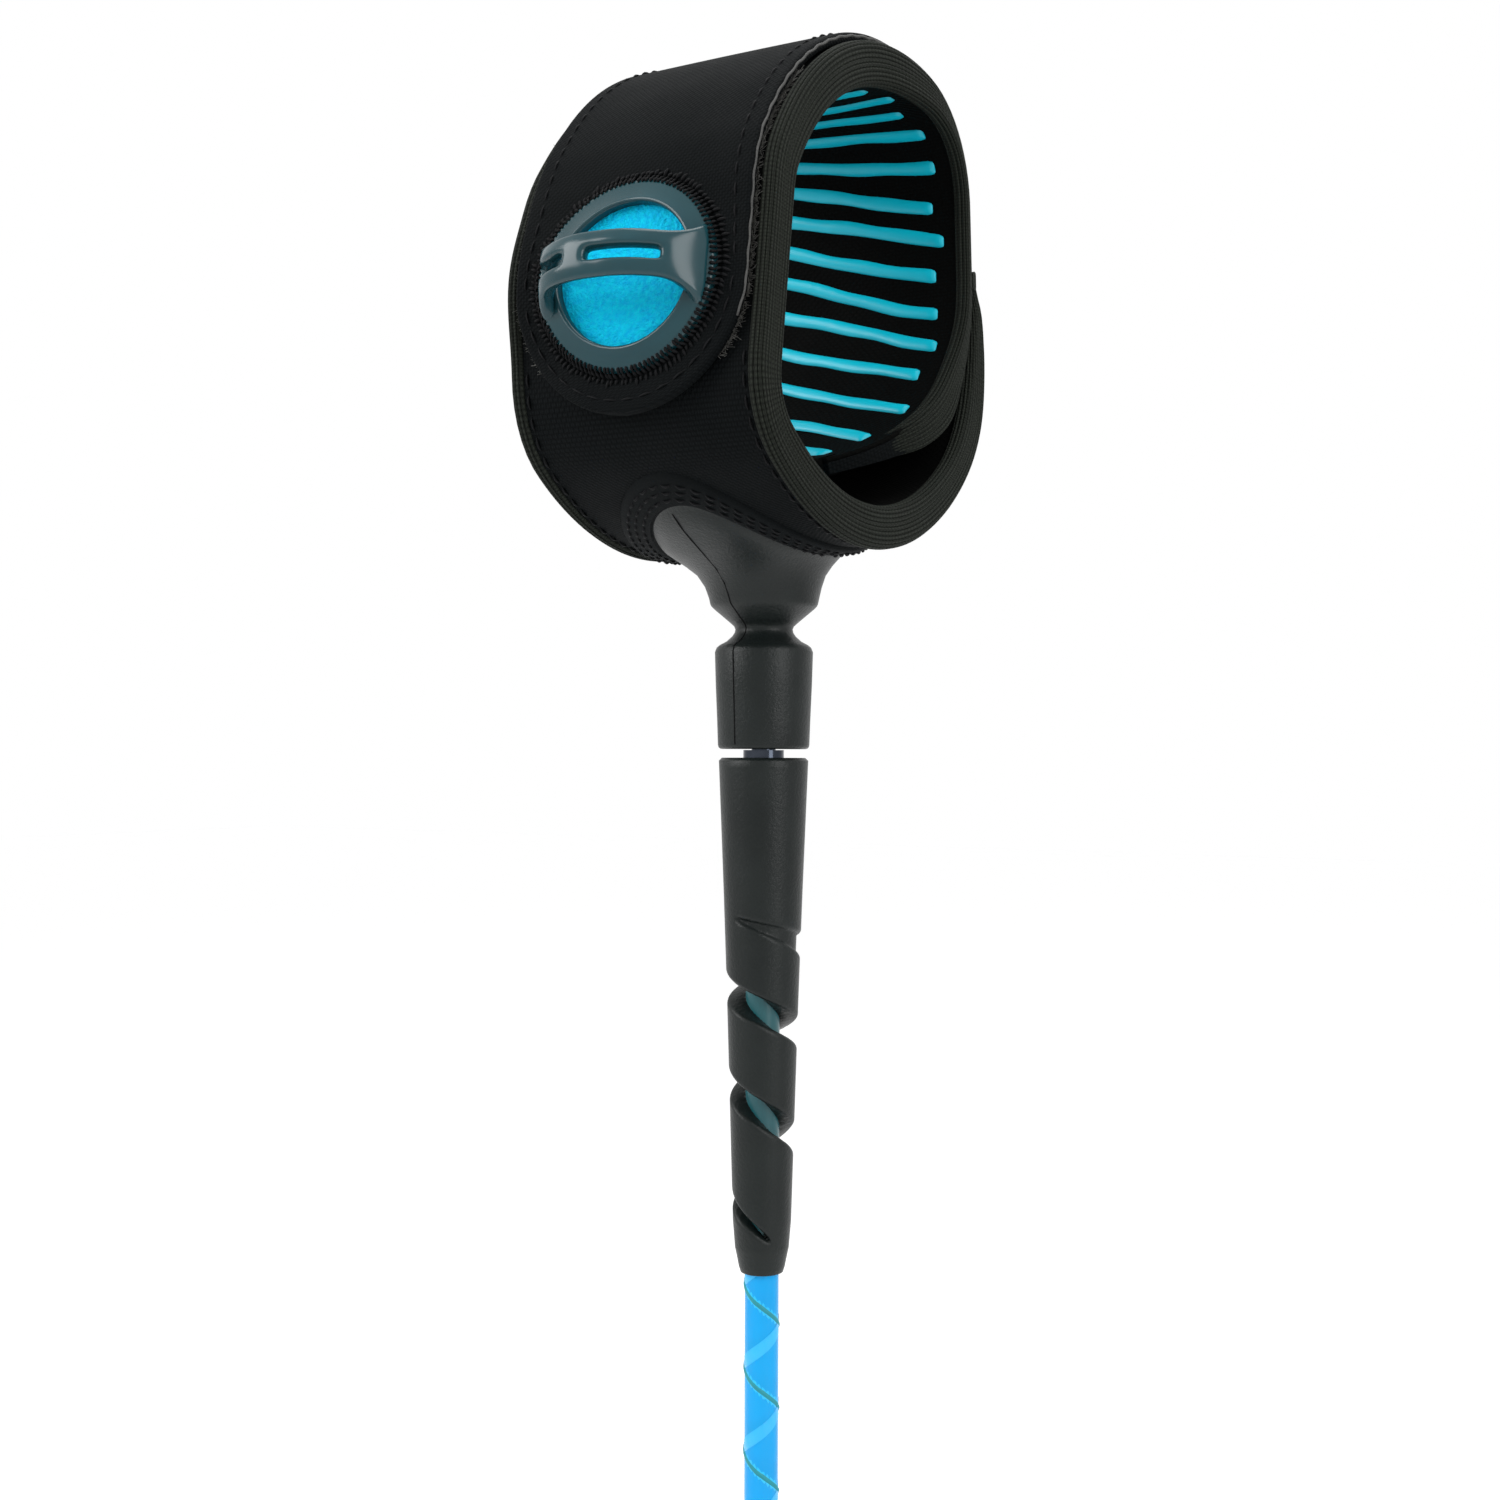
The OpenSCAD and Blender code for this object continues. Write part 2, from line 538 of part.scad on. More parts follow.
// Rail saver in its own plane: x across the webbing, the bar's centre at the origin, z up.
// The webbing goes round the bar, down the back and forward under the string fold.
loop_in = bar_r + 0.15;
loop_out = loop_in + saver_t;
fold_out = string_r + saver_t;
back_y = loop_out;                    // outer face of the webbing behind
fold_z = -saver_l + fold_out;
fold_y = back_y - fold_out;
flap_y = fold_y - string_r;           // inner face of the flap
module at_saver() translate([board_x, board_y, board_low - swivel_gap - bar_z]) children();
module slab(y0, y1, z0, z1, w = saver_w) translate([-w / 2, y0, z0]) cube([w, y1 - y0, z1 - z0]);
module across(r) rotate([0, 90, 0]) cylinder(r = r, h = saver_w, center = true);
module rail_saver() color("#1a1b1c") at_saver() {
    difference() {
        across(loop_out);
        rotate([0, 90, 0]) cylinder(r = loop_in, h = saver_w + 2, center = true);
        slab(-loop_out - 1, 0, -loop_out - 1, 0, saver_w + 2);
        slab(-1, loop_out + 1, -loop_out - 1, 0, saver_w + 2);
    }
    slab(loop_in, loop_out, fold_z, 0);
    slab(-loop_out, -loop_in, -9, 0);
    difference() {
        translate([0, fold_y, fold_z]) across(fold_out);
        translate([0, fold_y, fold_z]) rotate([0, 90, 0])
            cylinder(r = string_r, h = saver_w + 2, center = true);
        slab(fold_y - fold_out - 1, fold_y + fold_out + 1, fold_z, fold_z + fold_out + 1, saver_w + 2);
    }
    slab(-loop_out, loop_in, -9 - saver_t, -9);
}
flap_z0 = fold_z + 0.4;
flap_z1 = flap_z0 + flap_l;
patch_z0 = flap_z0 + 14;
module saver_loop_patch() color("#0f1011") at_saver()
    slab(loop_in - fastener_t, loop_in, patch_z0, flap_z1, saver_w - 4);
module saver_hook_patch() color("#0f1011") at_saver()
    slab(flap_y, loop_in - fastener_t - 0.3, patch_z0, flap_z1, saver_w - 4);
module saver_flap() color("#1a1b1c") at_saver()
    slab(flap_y - saver_t, flap_y, flap_z0, flap_z1);

// A round tube through hand-chosen points, as one closed mesh.
function unit(v) = v / norm(v);
function way(ps, i) = unit(ps[min(i + 1, len(ps) - 1)] - ps[max(i - 1, 0)]);
module tube(ps, r, sides = 10) {
    side = [1, 0, 0];
    rings = [for (i = [0:len(ps) - 1]) let (t = way(ps, i), u = unit(cross(side, t)), v = cross(t, u))
        [for (j = [0:sides - 1]) ps[i] + r * (u * cos(360 * j / sides) + v * sin(360 * j / sides))]];
    n = len(ps);
    polyhedron([for (ring = rings) each ring], concat(
        [[for (j = [sides - 1:-1:0]) j]],
        [for (i = [0:n - 2], j = [0:sides - 1]) let (k = (j + 1) % sides)
            each [[sides * i + j, sides * i + k, sides * (i + 1) + k],
                [sides * i + j, sides * (i + 1) + k, sides * (i + 1) + j]]],
        [[for (j = [0:sides - 1]) sides * (n - 1) + j]]));
}

// The cord: straight down from the crimp, into the hank, and out of it to the board's relief.
cord_start = relief_top - cord_top;
cord_run_points = [[0, 0, cord_start], [0, 0, -130], [0, 0, -150], [0, 0, -170], [0, 0, -190],
    [0, 0, -210], [0, 0, -230], [0, 0, -250], [0, 0, hank_top]];
cord_tail_points = [[-21, hank_y1, -292], [-21, hank_y1 + 3, -292.3],
    [-20.3, board_y - 3.4, -294], [-19.3, board_y - 1.2, -298], [-18, board_y - 0.2, -303.5],
    [-16.3, board_y, -310], [-15, board_y, -317], [board_x, board_y, -324],
    [board_x, board_y, -332], [board_x, board_y, -345], [board_x, board_y, -365],
    [board_x, board_y, -385], [board_x, board_y, -400], [board_x, board_y, board_low + cord_top]];
module cord_run() color("#28a7ee") tube(cord_run_points, cord_d / 2);
module cord_tail() color("#28a7ee") tube(cord_tail_points, cord_d / 2);
module cord_hank() color("#28a7ee") translate([0, hank_y1, 0]) rotate([90, 0, 0])
    linear_extrude(hank_y1 + cord_d / 2) {
        for (z = [hank_top - hank_half, hank_top - hank_h + hank_half])
            translate([0, z]) circle(r = hank_half);
        translate([-hank_half, hank_top - hank_h + hank_half])
            square([2 * hank_half, hank_h - 2 * hank_half]);
    }

// A webbing tie round the middle of the hank and the board's relief.
tie_h = 20;
tie_t = 1.6;
module tie_outline(grow) {
    x = hank_half + grow;
    bump = relief_low_r + 3 + grow;
    back = board_y + relief_low_r + 2 + grow;
    front = -cord_d / 2 - grow;
    polygon([[-x, front], [x, front], [x, hank_y1 + grow], [board_x + bump, back],
        [board_x - bump, back], [-x, hank_y1 + grow]]);
}
module hank_tie() color("#17181a") translate([0, 0, hank_top - hank_h / 2 - tie_h / 2])
    linear_extrude(tie_h) difference() {
        tie_outline(tie_t);
        tie_outline(0);
    }

cuff_skin();
cuff_padding();
cuff_lining();
grip_lines();
binding_near();
binding_far();
binding_inner_end();
binding_outer_end();
load_webbing();
loop_panel();
horn();
swivel_cup();
strap_anchor();
closure_strap();
strap_tab();
hook_patch();
tab_disc();
pull_ring();
swivel_pin();
thrust_washer();
cord_crimp();
cord_relief();
relief_coil();
relief_mouth();
cord_run();
cord_hank();
hank_tie();
cord_tail();
board_relief();
board_coil();
board_mouth_ring();
board_crimp();
board_pin();
board_washer();
board_barrel();
board_cup();
rail_saver();
saver_loop_patch();
saver_flap();
saver_hook_patch();
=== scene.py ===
# %% [markdown]
# A leg leash: a padded ankle cuff closed by a strap, a moulded horn with a swivel, a spiral strain
# relief, a clear blue cord and a rail saver. All places are in metres, in the frame of the solids:
# X runs along the leg, -Y faces the strap's tab, Z is up and the swivel's axis is the Z axis.

# %% Load the solids
import random
from math import asin, copysign, cos, dist, exp, hypot, pi, radians, sin, sqrt, tan
import bpy
from mathutils import Matrix, Vector


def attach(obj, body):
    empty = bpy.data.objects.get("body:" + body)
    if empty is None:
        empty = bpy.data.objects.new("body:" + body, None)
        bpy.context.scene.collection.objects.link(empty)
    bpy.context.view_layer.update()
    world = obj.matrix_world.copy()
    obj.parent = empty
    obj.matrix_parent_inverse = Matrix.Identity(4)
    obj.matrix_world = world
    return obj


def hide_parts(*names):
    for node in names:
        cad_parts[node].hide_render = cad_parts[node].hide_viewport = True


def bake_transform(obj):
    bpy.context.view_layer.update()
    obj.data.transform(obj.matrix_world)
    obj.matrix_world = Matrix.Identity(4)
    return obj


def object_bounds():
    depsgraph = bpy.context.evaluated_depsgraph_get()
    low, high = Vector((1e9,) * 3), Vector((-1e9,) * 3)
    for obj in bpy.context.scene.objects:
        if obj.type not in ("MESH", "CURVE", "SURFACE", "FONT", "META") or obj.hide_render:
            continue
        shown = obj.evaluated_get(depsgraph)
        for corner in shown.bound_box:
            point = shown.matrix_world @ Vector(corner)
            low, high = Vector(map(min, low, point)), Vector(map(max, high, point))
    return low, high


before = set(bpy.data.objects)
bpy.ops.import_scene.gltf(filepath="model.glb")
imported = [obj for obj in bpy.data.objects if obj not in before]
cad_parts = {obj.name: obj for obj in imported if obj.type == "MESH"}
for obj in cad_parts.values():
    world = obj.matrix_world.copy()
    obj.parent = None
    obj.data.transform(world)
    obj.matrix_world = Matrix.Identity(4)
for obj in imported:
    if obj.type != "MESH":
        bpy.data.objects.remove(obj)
SOLID_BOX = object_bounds()
print("solids loaded:", len(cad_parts), "nodes")


# %% [markdown]
# The camera stands level with the barrel, a little to the right of the tab, with a 45.6 mm lens.
# The floor is far below the hanging leash. Floor and backdrop turn white for the camera and for
# reflections, so the dark moulding gets bright edges without more light on the leash itself.

# %% Camera, floor and light
CAMERA_TURN, CAMERA_ROLL, LENS = radians(30.5), radians(0.2), 45.6
CAMERA_Z, CAMERA_AWAY, CAMERA_ASIDE = -0.0914, 0.391, 0.0028
FILL, FLOOR_GAP, FLOOR_GLOW = 0.5, 0.012, 0.55


def add_camera(turn, height, distance, aside, roll):
    right = Vector((cos(turn), sin(turn), 0))
    back = Vector((sin(turn), -cos(turn), 0))
    bpy.ops.object.camera_add(location=back * distance - right * aside + Vector((0, 0, height)))
    camera = bpy.context.object
    camera.name = "studio_camera"
    camera.matrix_world = (Matrix.Translation(camera.location) @ Matrix.Rotation(turn, 4, "Z")
                           @ Matrix.Rotation(pi / 2, 4, "X") @ Matrix.Rotation(roll, 4, "Z"))
    camera.data.lens = LENS
    camera.data.sensor_width = 36
    camera.data.clip_start = 0.01
    bpy.context.scene.camera = camera


def add_softbox(name, place, target, size, watts):
    bpy.ops.object.light_add(type="AREA", location=place)
    lamp = bpy.context.object
    lamp.name = name
    lamp.data.shape = "RECTANGLE"
    lamp.data.size, lamp.data.size_y = size
    lamp.data.energy = watts
    lamp.rotation_euler = (Vector(target) - Vector(place)).to_track_quat("-Z", "Y").to_euler()
    lamp.visible_camera = False


add_camera(CAMERA_TURN, CAMERA_Z, CAMERA_AWAY, CAMERA_ASIDE, CAMERA_ROLL)
add_softbox("softbox_left", (-0.9, -0.9, 0.6), (0, 0, -0.05), (0.9, 0.9), 15)
add_softbox("softbox_right", (1.1, -0.35, 0.35), (0, 0, -0.05), (0.5, 1.1), 9)
add_softbox("softbox_top", (0.1, 0.1, 1.2), (0, 0, 0), (0.9, 0.9), 9)
bpy.context.scene.view_settings.view_transform = "Standard"


def set_inputs(made, values):
    for name, value in values.items():
        made.inputs[name.replace("_", " ")].default_value = value
    return made


def node(tree, kind, x=0, y=0, **sockets):
    made = tree.nodes.new(kind)
    made.location = (x, y)
    return set_inputs(made, sockets)


def math_node(tree, operation, a, b=None, x=0, y=0):
    made = node(tree, "ShaderNodeMath", x, y)
    made.operation = operation
    for i, value in enumerate((a, b)):
        if hasattr(value, "is_output"):
            tree.links.new(value, made.inputs[i])
        elif value is not None:
            made.inputs[i].default_value = value
    return made.outputs[0]


def spread(tree, source, low, high, x=-200, y=-100):
    """A number from 0 to 1, drawn out to go from low to high."""
    made = node(tree, "ShaderNodeMapRange", x, y, To_Min=low, To_Max=high)
    tree.links.new(source, made.inputs["Value"])
    return made.outputs["Result"]


def white_seen(tree):
    """Is Camera, Glossy or Transmission Ray, as one number."""
    ray = node(tree, "ShaderNodeLightPath", -800, 0).outputs
    seen = math_node(tree, "MAXIMUM", ray["Is Camera Ray"], ray["Is Glossy Ray"], -600, 0)
    return math_node(tree, "MAXIMUM", seen, ray["Is Transmission Ray"], -400, 0)


def light_world(fill):
    world = bpy.data.worlds.new("studio_world")
    bpy.context.scene.world = world
    world.use_nodes = True
    tree = world.node_tree
    sky = set_inputs(tree.nodes["Background"], {"Color": (1, 1, 1, 1)})
    tree.links.new(spread(tree, white_seen(tree), fill, 1.0, -200, 0), sky.inputs["Strength"])


def new_finish(name, colour, roughness, **sockets):
    made = bpy.data.materials.new(name)
    made.use_nodes = True
    surface = set_inputs(made.node_tree.nodes["Principled BSDF"], sockets)
    surface.inputs["Base Color"].default_value = (*colour, 1)
    surface.inputs["Roughness"].default_value = roughness
    return made, made.node_tree, surface


def add_floor(z):
    bpy.ops.mesh.primitive_plane_add(size=16, location=(0, 0, z))
    floor = bpy.context.object
    floor.name = "studio_floor"
    pale, tree, surface = new_finish("pale_floor", (0.8, 0.8, 0.8), 0.9, Emission_Color=(1, 1, 1, 1))
    glow = spread(tree, white_seen(tree), 0.0, FLOOR_GLOW, -200, -300)
    tree.links.new(glow, surface.inputs["Emission Strength"])
    floor.data.materials.append(pale)


light_world(FILL)
add_floor(SOLID_BOX[0][2] - FLOOR_GAP)
print("camera and light placed")


# %% [markdown]
# ## Finishes
# Effects shared by several finishes are node groups that give out only numbers and colours: fine
# grain for the moulded plastic, a knit for the neoprene, a weave for webbing. Each finish places
# a group with its own values and keeps its shader to itself.

# %% Shared effects
def group(name, inputs, outputs):
    made = bpy.data.node_groups.new(name, "ShaderNodeTree")
    for title, kind, value in inputs:
        socket = made.interface.new_socket(title, in_out="INPUT", socket_type=kind)
        if value is not None:
            socket.default_value = value
    for title, kind in outputs:
        made.interface.new_socket(title, in_out="OUTPUT", socket_type=kind)
    start = node(made, "NodeGroupInput", -900, 0)
    end = node(made, "NodeGroupOutput", 700, 0)
    return made, start, end


def grain_group():
    """Fine speckle and slow cloud, both from 0 to 1, for bumps and worn patches."""
    tree, start, end = group("grain_and_cloud",
        [("Vector", "NodeSocketVector", None), ("Grain Scale", "NodeSocketFloat", 900.0),
         ("Cloud Scale", "NodeSocketFloat", 35.0)],
        [("Grain", "NodeSocketFloat"), ("Cloud", "NodeSocketFloat")])
    fine = node(tree, "ShaderNodeTexNoise", -400, 150, Detail=3.0, Roughness=0.65)
    slow = node(tree, "ShaderNodeTexNoise", -400, -150, Detail=4.0, Roughness=0.5)
    for made, scale, out in ((fine, "Grain Scale", "Grain"), (slow, "Cloud Scale", "Cloud")):
        tree.links.new(start.outputs["Vector"], made.inputs["Vector"])
        tree.links.new(start.outputs[scale], made.inputs["Scale"])
        tree.links.new(made.outputs["Fac"], end.inputs[out])
    return tree


def weave_group():
    """Over-and-under threads in two directions of a flat map: a height from 0 to 1, and a shade from 0
    to 1 that is 0 at the threads' edges, used as painted shade in the gaps.
    """
    tree, start, end = group("thread_weave",
        [("Vector", "NodeSocketVector", None), ("Threads", "NodeSocketFloat", 900.0)],
        [("Height", "NodeSocketFloat"), ("Shade", "NodeSocketFloat")])
    split = node(tree, "ShaderNodeSeparateXYZ", -700, 0)
    tree.links.new(start.outputs["Vector"], split.inputs[0])
    waves = []
    for i, axis in enumerate("XY"):
        y = 200 - 300 * i
        turned = math_node(tree, "MULTIPLY", split.outputs[axis], start.outputs["Threads"], -500, y)
        angle = math_node(tree, "MULTIPLY", turned, pi, -350, y)
        waves.append(math_node(tree, "SINE", angle, None, -200, y))
    over = math_node(tree, "MULTIPLY", waves[0], waves[1], 0, 100)
    height = math_node(tree, "MULTIPLY_ADD", over, 0.5, 150, 100)
    height.node.inputs[2].default_value = 0.5
    edge_a = math_node(tree, "ABSOLUTE", waves[0], None, 0, -100)
    edge_b = math_node(tree, "ABSOLUTE", waves[1], None, 0, -250)
    shade = math_node(tree, "MULTIPLY", edge_a, edge_b, 200, -150)
    tree.links.new(height, end.inputs["Height"])
    tree.links.new(shade, end.inputs["Shade"])
    return tree


GRAIN = grain_group()
WEAVE = weave_group()


def place_group(tree, made, x, y, **sockets):
    placed = node(tree, "ShaderNodeGroup", x, y)
    placed.node_tree = made
    return set_inputs(placed, sockets)


def ramp(tree, source, low, high, x=-200, y=200):
    """Two colours mixed by a number between 0 and 1."""
    made = node(tree, "ShaderNodeMix", x, y)
    made.data_type = "RGBA"
    made.inputs[6].default_value = (*low, 1)
    made.inputs[7].default_value = (*high, 1)
    tree.links.new(source, made.inputs["Factor"])
    return made.outputs[2]


def bumped(tree, surface, height, strength, depth, x=-200, y=-400):
    made = node(tree, "ShaderNodeBump", x, y, Strength=strength, Distance=depth)
    tree.links.new(height, made.inputs["Height"])
    tree.links.new(made.outputs["Normal"], surface.inputs["Normal"])


print("shared effects:", GRAIN.name, WEAVE.name)


# %% [markdown]
# Each finish has the detail of the real one: a fine knit and lint on neoprene, satin moulding
# with faint flow marks, glossy silicone, polished steel, woven nylon, and clear urethane.

# %% Finishes of cuff, moulding and cord
def grain_finish(name, low, high, rough=(0.5, 0.7), grain=2500, cloud=200, depth=0.0001, strength=0.4,
                 spec=0.5, **sockets):
    """A surface with fine grain, whose colour and gloss drift slowly."""
    made, tree, surface = new_finish(name, low, rough[0], Specular_IOR_Level=spec, **sockets)
    place = node(tree, "ShaderNodeTexCoord", -1000, 0)
    effect = place_group(tree, GRAIN, -700, 0, Grain_Scale=grain, Cloud_Scale=cloud)
    tree.links.new(place.outputs["Object"], effect.inputs["Vector"])
    tree.links.new(ramp(tree, effect.outputs["Cloud"], low, high), surface.inputs["Base Color"])
    tree.links.new(spread(tree, effect.outputs["Cloud"], *rough), surface.inputs["Roughness"])
    bumped(tree, surface, effect.outputs["Grain"], strength, depth)
    return made


def knit_finish(name, dark, light, loops, spec):
    """Jersey over foam: tiny knit loops, drawn on the piece's own map, and a few paler fibres; the
    colour is also darker in the gaps between loops, which is painted shade.
    """
    made, tree, surface = new_finish(name, dark, 0.75, Specular_IOR_Level=spec)
    uv = node(tree, "ShaderNodeUVMap", -1200, 0)
    uv.uv_map = "surface"
    knit = place_group(tree, WEAVE, -800, -200, Threads=loops)
    tree.links.new(uv.outputs["UV"], knit.inputs["Vector"])
    place = node(tree, "ShaderNodeTexCoord", -1200, 300)
    lint = place_group(tree, GRAIN, -800, 200, Grain_Scale=2600.0, Cloud_Scale=60.0)
    tree.links.new(place.outputs["Object"], lint.inputs["Vector"])
    # Colour: painted shade, dark in the gaps between loops, times paler flecks of lint, which are the
    # cloth's own.
    lint_and_painted_shade = math_node(tree, "MULTIPLY", knit.outputs["Shade"], lint.outputs["Grain"], -500, 100)
    tree.links.new(ramp(tree, lint_and_painted_shade, dark, light), surface.inputs["Base Color"])
    tree.links.new(spread(tree, lint.outputs["Cloud"], 0.62, 0.85), surface.inputs["Roughness"])
    both = math_node(tree, "ADD", knit.outputs["Height"], lint.outputs["Grain"], -500, -300)
    bumped(tree, surface, both, 0.55, 0.00018)
    return made


NEOPRENE = knit_finish("neoprene_knit", (0.0008, 0.0013, 0.0015), (0.0076, 0.0096, 0.0104),
    1700, 0.05)
LINING = knit_finish("jersey_lining", (0.0009, 0.001, 0.0009), (0.0032, 0.0034, 0.0032), 1300, 0.03)
BINDING = knit_finish("ribbed_tape", (0.0045, 0.0056, 0.0042), (0.036, 0.042, 0.033), 1500, 0.1)
WEBBING = knit_finish("nylon_webbing", (0.004, 0.0042, 0.0046), (0.018, 0.019, 0.021), 520, 0.2)
HOOKS = grain_finish("hook_fastener", (0.004, 0.004, 0.0045), (0.014, 0.014, 0.015),
    (0.6, 0.85), 1500, 90, 0.0006, 0.9, 0.2)
LOOPS = grain_finish("loop_fastener", (0.006, 0.006, 0.0068), (0.02, 0.02, 0.022),
    (0.7, 0.9), 1900, 120, 0.0005, 0.9, 0.15)
THREAD = grain_finish("black_thread", (0.002, 0.002, 0.0023), (0.008, 0.0085, 0.0095),
    grain=3000, spec=0.08)
FIBRE = grain_finish("grey_fibre", (0.03, 0.03, 0.028), (0.12, 0.12, 0.11), cloud=500)
RAW_EDGE = grain_finish("cut_edge", (0.006, 0.006, 0.006), (0.085, 0.085, 0.08),
    (0.6, 0.8), 1500, 260, 0.0003, 0.8)
MOULDING = grain_finish("satin_moulding", (0.0016, 0.0032, 0.003), (0.0095, 0.0132, 0.0125),
    (0.27, 0.5), 1500, 90, 0.0002, 0.6, 0.22)
COLLAR = grain_finish("sewn_collar", (0.0008, 0.0012, 0.0013), (0.0068, 0.0086, 0.0094),
    (0.65, 0.85), 1700, 60, 0.0002, 0.6, 0.06)
PARTING = grain_finish("parting_line", (0.0008, 0.0009, 0.001), (0.002, 0.002, 0.0022),
    (0.5, 0.6), 1400, 90, 0.00005, spec=0.05)
# The pins' steel is darkened: a painted dark reflection of the black moulding round them.
PAINTED_DARK_REFLECTION_STEEL = grain_finish("pin_painted_dark_reflection", (0.008, 0.011, 0.017), (0.07, 0.08, 0.1),
    (0.1, 0.2), 900, 160, 0.00003, 0.2, Metallic=1)
GRIP = grain_finish("silicone_line", (0, 0.42, 0.56), (0.004, 0.54, 0.68),
    (0.26, 0.42), 300, 60, 0.0003, 0.4, 0.35)
DISC = grain_finish("blue_fabric_disc", (0, 0.36, 0.88), (0.005, 0.84, 1),
    (0.5, 0.7), 1100, 1000, 0.0009, 1, 0.06)
STEEL = grain_finish("polished_steel", (0.62, 0.64, 0.68), (0.75, 0.77, 0.8),
    (0.12, 0.26), 1200, 50, 0.00003, 0.2, Metallic=1)
CRIMP = grain_finish("plain_crimp", (0.5, 0.5, 0.51), (0.62, 0.62, 0.63),
    (0.3, 0.45), 900, 60, 0.00005, 0.3, Metallic=1)
ACETAL = grain_finish("white_acetal", (0.72, 0.71, 0.67), (0.8, 0.79, 0.76),
    (0.35, 0.5), 900, 60, 0.00003, 0.2)
RING = grain_finish("smoky_ring", (0.005, 0.038, 0.048), (0.014, 0.075, 0.092),
    (0.14, 0.26), 500, 60, 0.00003, 0.15, Transmission_Weight=0.25, IOR=1.4)
CORD = grain_finish("blue_urethane", (0.002, 0.38, 0.91), (0.006, 0.47, 0.95),
    (0.1, 0.2), 350, 25, 0.00005, 0.2, Transmission_Weight=0.2, IOR=1.3)
# Pale bands on the cord's surface are painted light: a painted glow along the yarn's near pass, and a
# pale painted copy of its far pass as the clear cord shows it.
HALO = grain_finish("pale_cyan_glow", (0.01, 0.48, 0.9), (0.02, 0.55, 0.93), (0.2, 0.3))
PAINTED_FAR_YARN_LIGHT = grain_finish("far_yarn_painted_light", (0.01, 0.43, 0.93), (0.02, 0.5, 0.96), (0.15, 0.25))
# Where the cord lies inside a sleeve it gets this darker finish: painted shade, standing in for the
# sleeve's shadow on it.
SHADED = grain_finish("cord_painted_shade_in_sleeve", (0.002, 0.06, 0.075), (0.006, 0.11, 0.125),
    (0.2, 0.35), 350, 60, 0.00005, 0.2)
YARN = grain_finish("teal_yarn", (0.004, 0.19, 0.24), (0.01, 0.32, 0.36))
print("finishes made:", len([m for m in bpy.data.materials if m.use_nodes]))


# %% [markdown]
# ## Cord
# The cord is one run of clear blue urethane, 7 mm thick: straight down out of the relief, round
# the hank, and into the relief of the board's end. A single yarn winds inside it, left-handed,
# one turn in 17 mm. Cord and yarn are swept as tubes along the same route.

# %% The cord's route
CORD_D = 0.007
HANK_TOP, HANK_BOTTOM = -0.262, -0.402
FOLD = 3 * CORD_D
HALF_TURN = [pi * i / 12 for i in range(1, 13)]
BOARD_X, BOARD_Y, BOARD_MOUTH = -0.014, 0.0423, -0.325
RELIEF = 0.1055
BOARD_LOW = BOARD_MOUTH - RELIEF


def ease(t):
    """Two equal arcs, so that a sideways step has an even bend."""
    return 2 * t * t if t < 0.5 else 1 - 2 * (1 - t) ** 2


def step_aside(a, b, count):
    """From a down to b, with an even step to the side."""
    return [Vector((a.x + (b.x - a.x) * ease(i / count), a.y + (b.y - a.y) * ease(i / count),
                    a.z + (b.z - a.z) * i / count)) for i in range(1, count + 1)]


def leg(x, top, low, count):
    return [Vector((x, 0, top + (low - top) * i / count)) for i in range(1, count + 1)]


def fold(side, z):
    """Half a turn of the cord, over the top (side 1) or under the bottom (side -1)."""
    return [Vector((side * FOLD * cos(a), 0, z + side * FOLD * sin(a))) for a in HALF_TURN]


def hank_route(start_z, turns, step):
    """Down the left leg, then bottom fold, right leg and top fold, again and again."""
    top, low = HANK_TOP - CORD_D / 2 - FOLD, HANK_BOTTOM + CORD_D / 2 + FOLD
    flat = [Vector((-FOLD, 0, start_z))] + leg(-FOLD, start_z, low, 5)
    for k in range(turns):
        flat += fold(-1, low) + leg(FOLD, low, top, 6) + fold(1, top)
        if k < turns - 1:
            flat += leg(-FOLD, top, low, 6)
    gone = 0
    turn = 2 * (top - low) + 2 * pi * FOLD
    out = []
    for i, p in enumerate(flat):
        gone += (p - flat[i - 1]).length if i else 0
        out.append(Vector((p.x, 0.001 + step * gone / turn, p.z)))
    return out


route = [Vector((0, 0, z)) for z in (-0.108, -0.13, -0.15, -0.17, -0.19, -0.21, -0.23, -0.25, -0.262)]
route += step_aside(route[-1], Vector((-FOLD, 0.001, -0.312)), 10)
route += hank_route(-0.312, 4, 0.0073)[1:]
route += step_aside(route[-1], Vector((BOARD_X, BOARD_Y, BOARD_MOUTH)), 9)
route += [Vector((BOARD_X, BOARD_Y, z)) for z in (-0.345, -0.365, -0.385, -0.4, BOARD_LOW + 0.015)]


# %% Tubes along a route
def new_piece(name, points, faces, finish):
    mesh = bpy.data.meshes.new(name)
    mesh.from_pydata([tuple(p) for p in points], [], faces)
    mesh.update()
    made = bpy.data.objects.new(name, mesh)
    bpy.context.collection.objects.link(made)
    mesh.materials.append(finish)
    mesh.polygons.foreach_set("use_smooth", [True] * len(mesh.polygons))
    return made


def alone(*pieces):
    """Only these pieces are selected, and the first of them is active."""
    bpy.ops.object.select_all(action="DESELECT")
    for piece in pieces:
        piece.select_set(True)
    bpy.context.view_layer.objects.active = pieces[0]


def join(main, *extras):
    """Extras become part of main's mesh and keep their own finish."""
    alone(main, *extras)
    bpy.ops.object.join()
    return main


def worn(piece, body):
    """The piece moves with a body."""
    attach(piece, body)


def wall(rows, sides, base=0):
    """Faces round a stack of closed rows of points."""
    return [(a + j, a + (j + 1) % sides, a + sides + (j + 1) % sides, a + sides + j)
            for a in range(base, base + sides * (rows - 1), sides) for j in range(sides)]


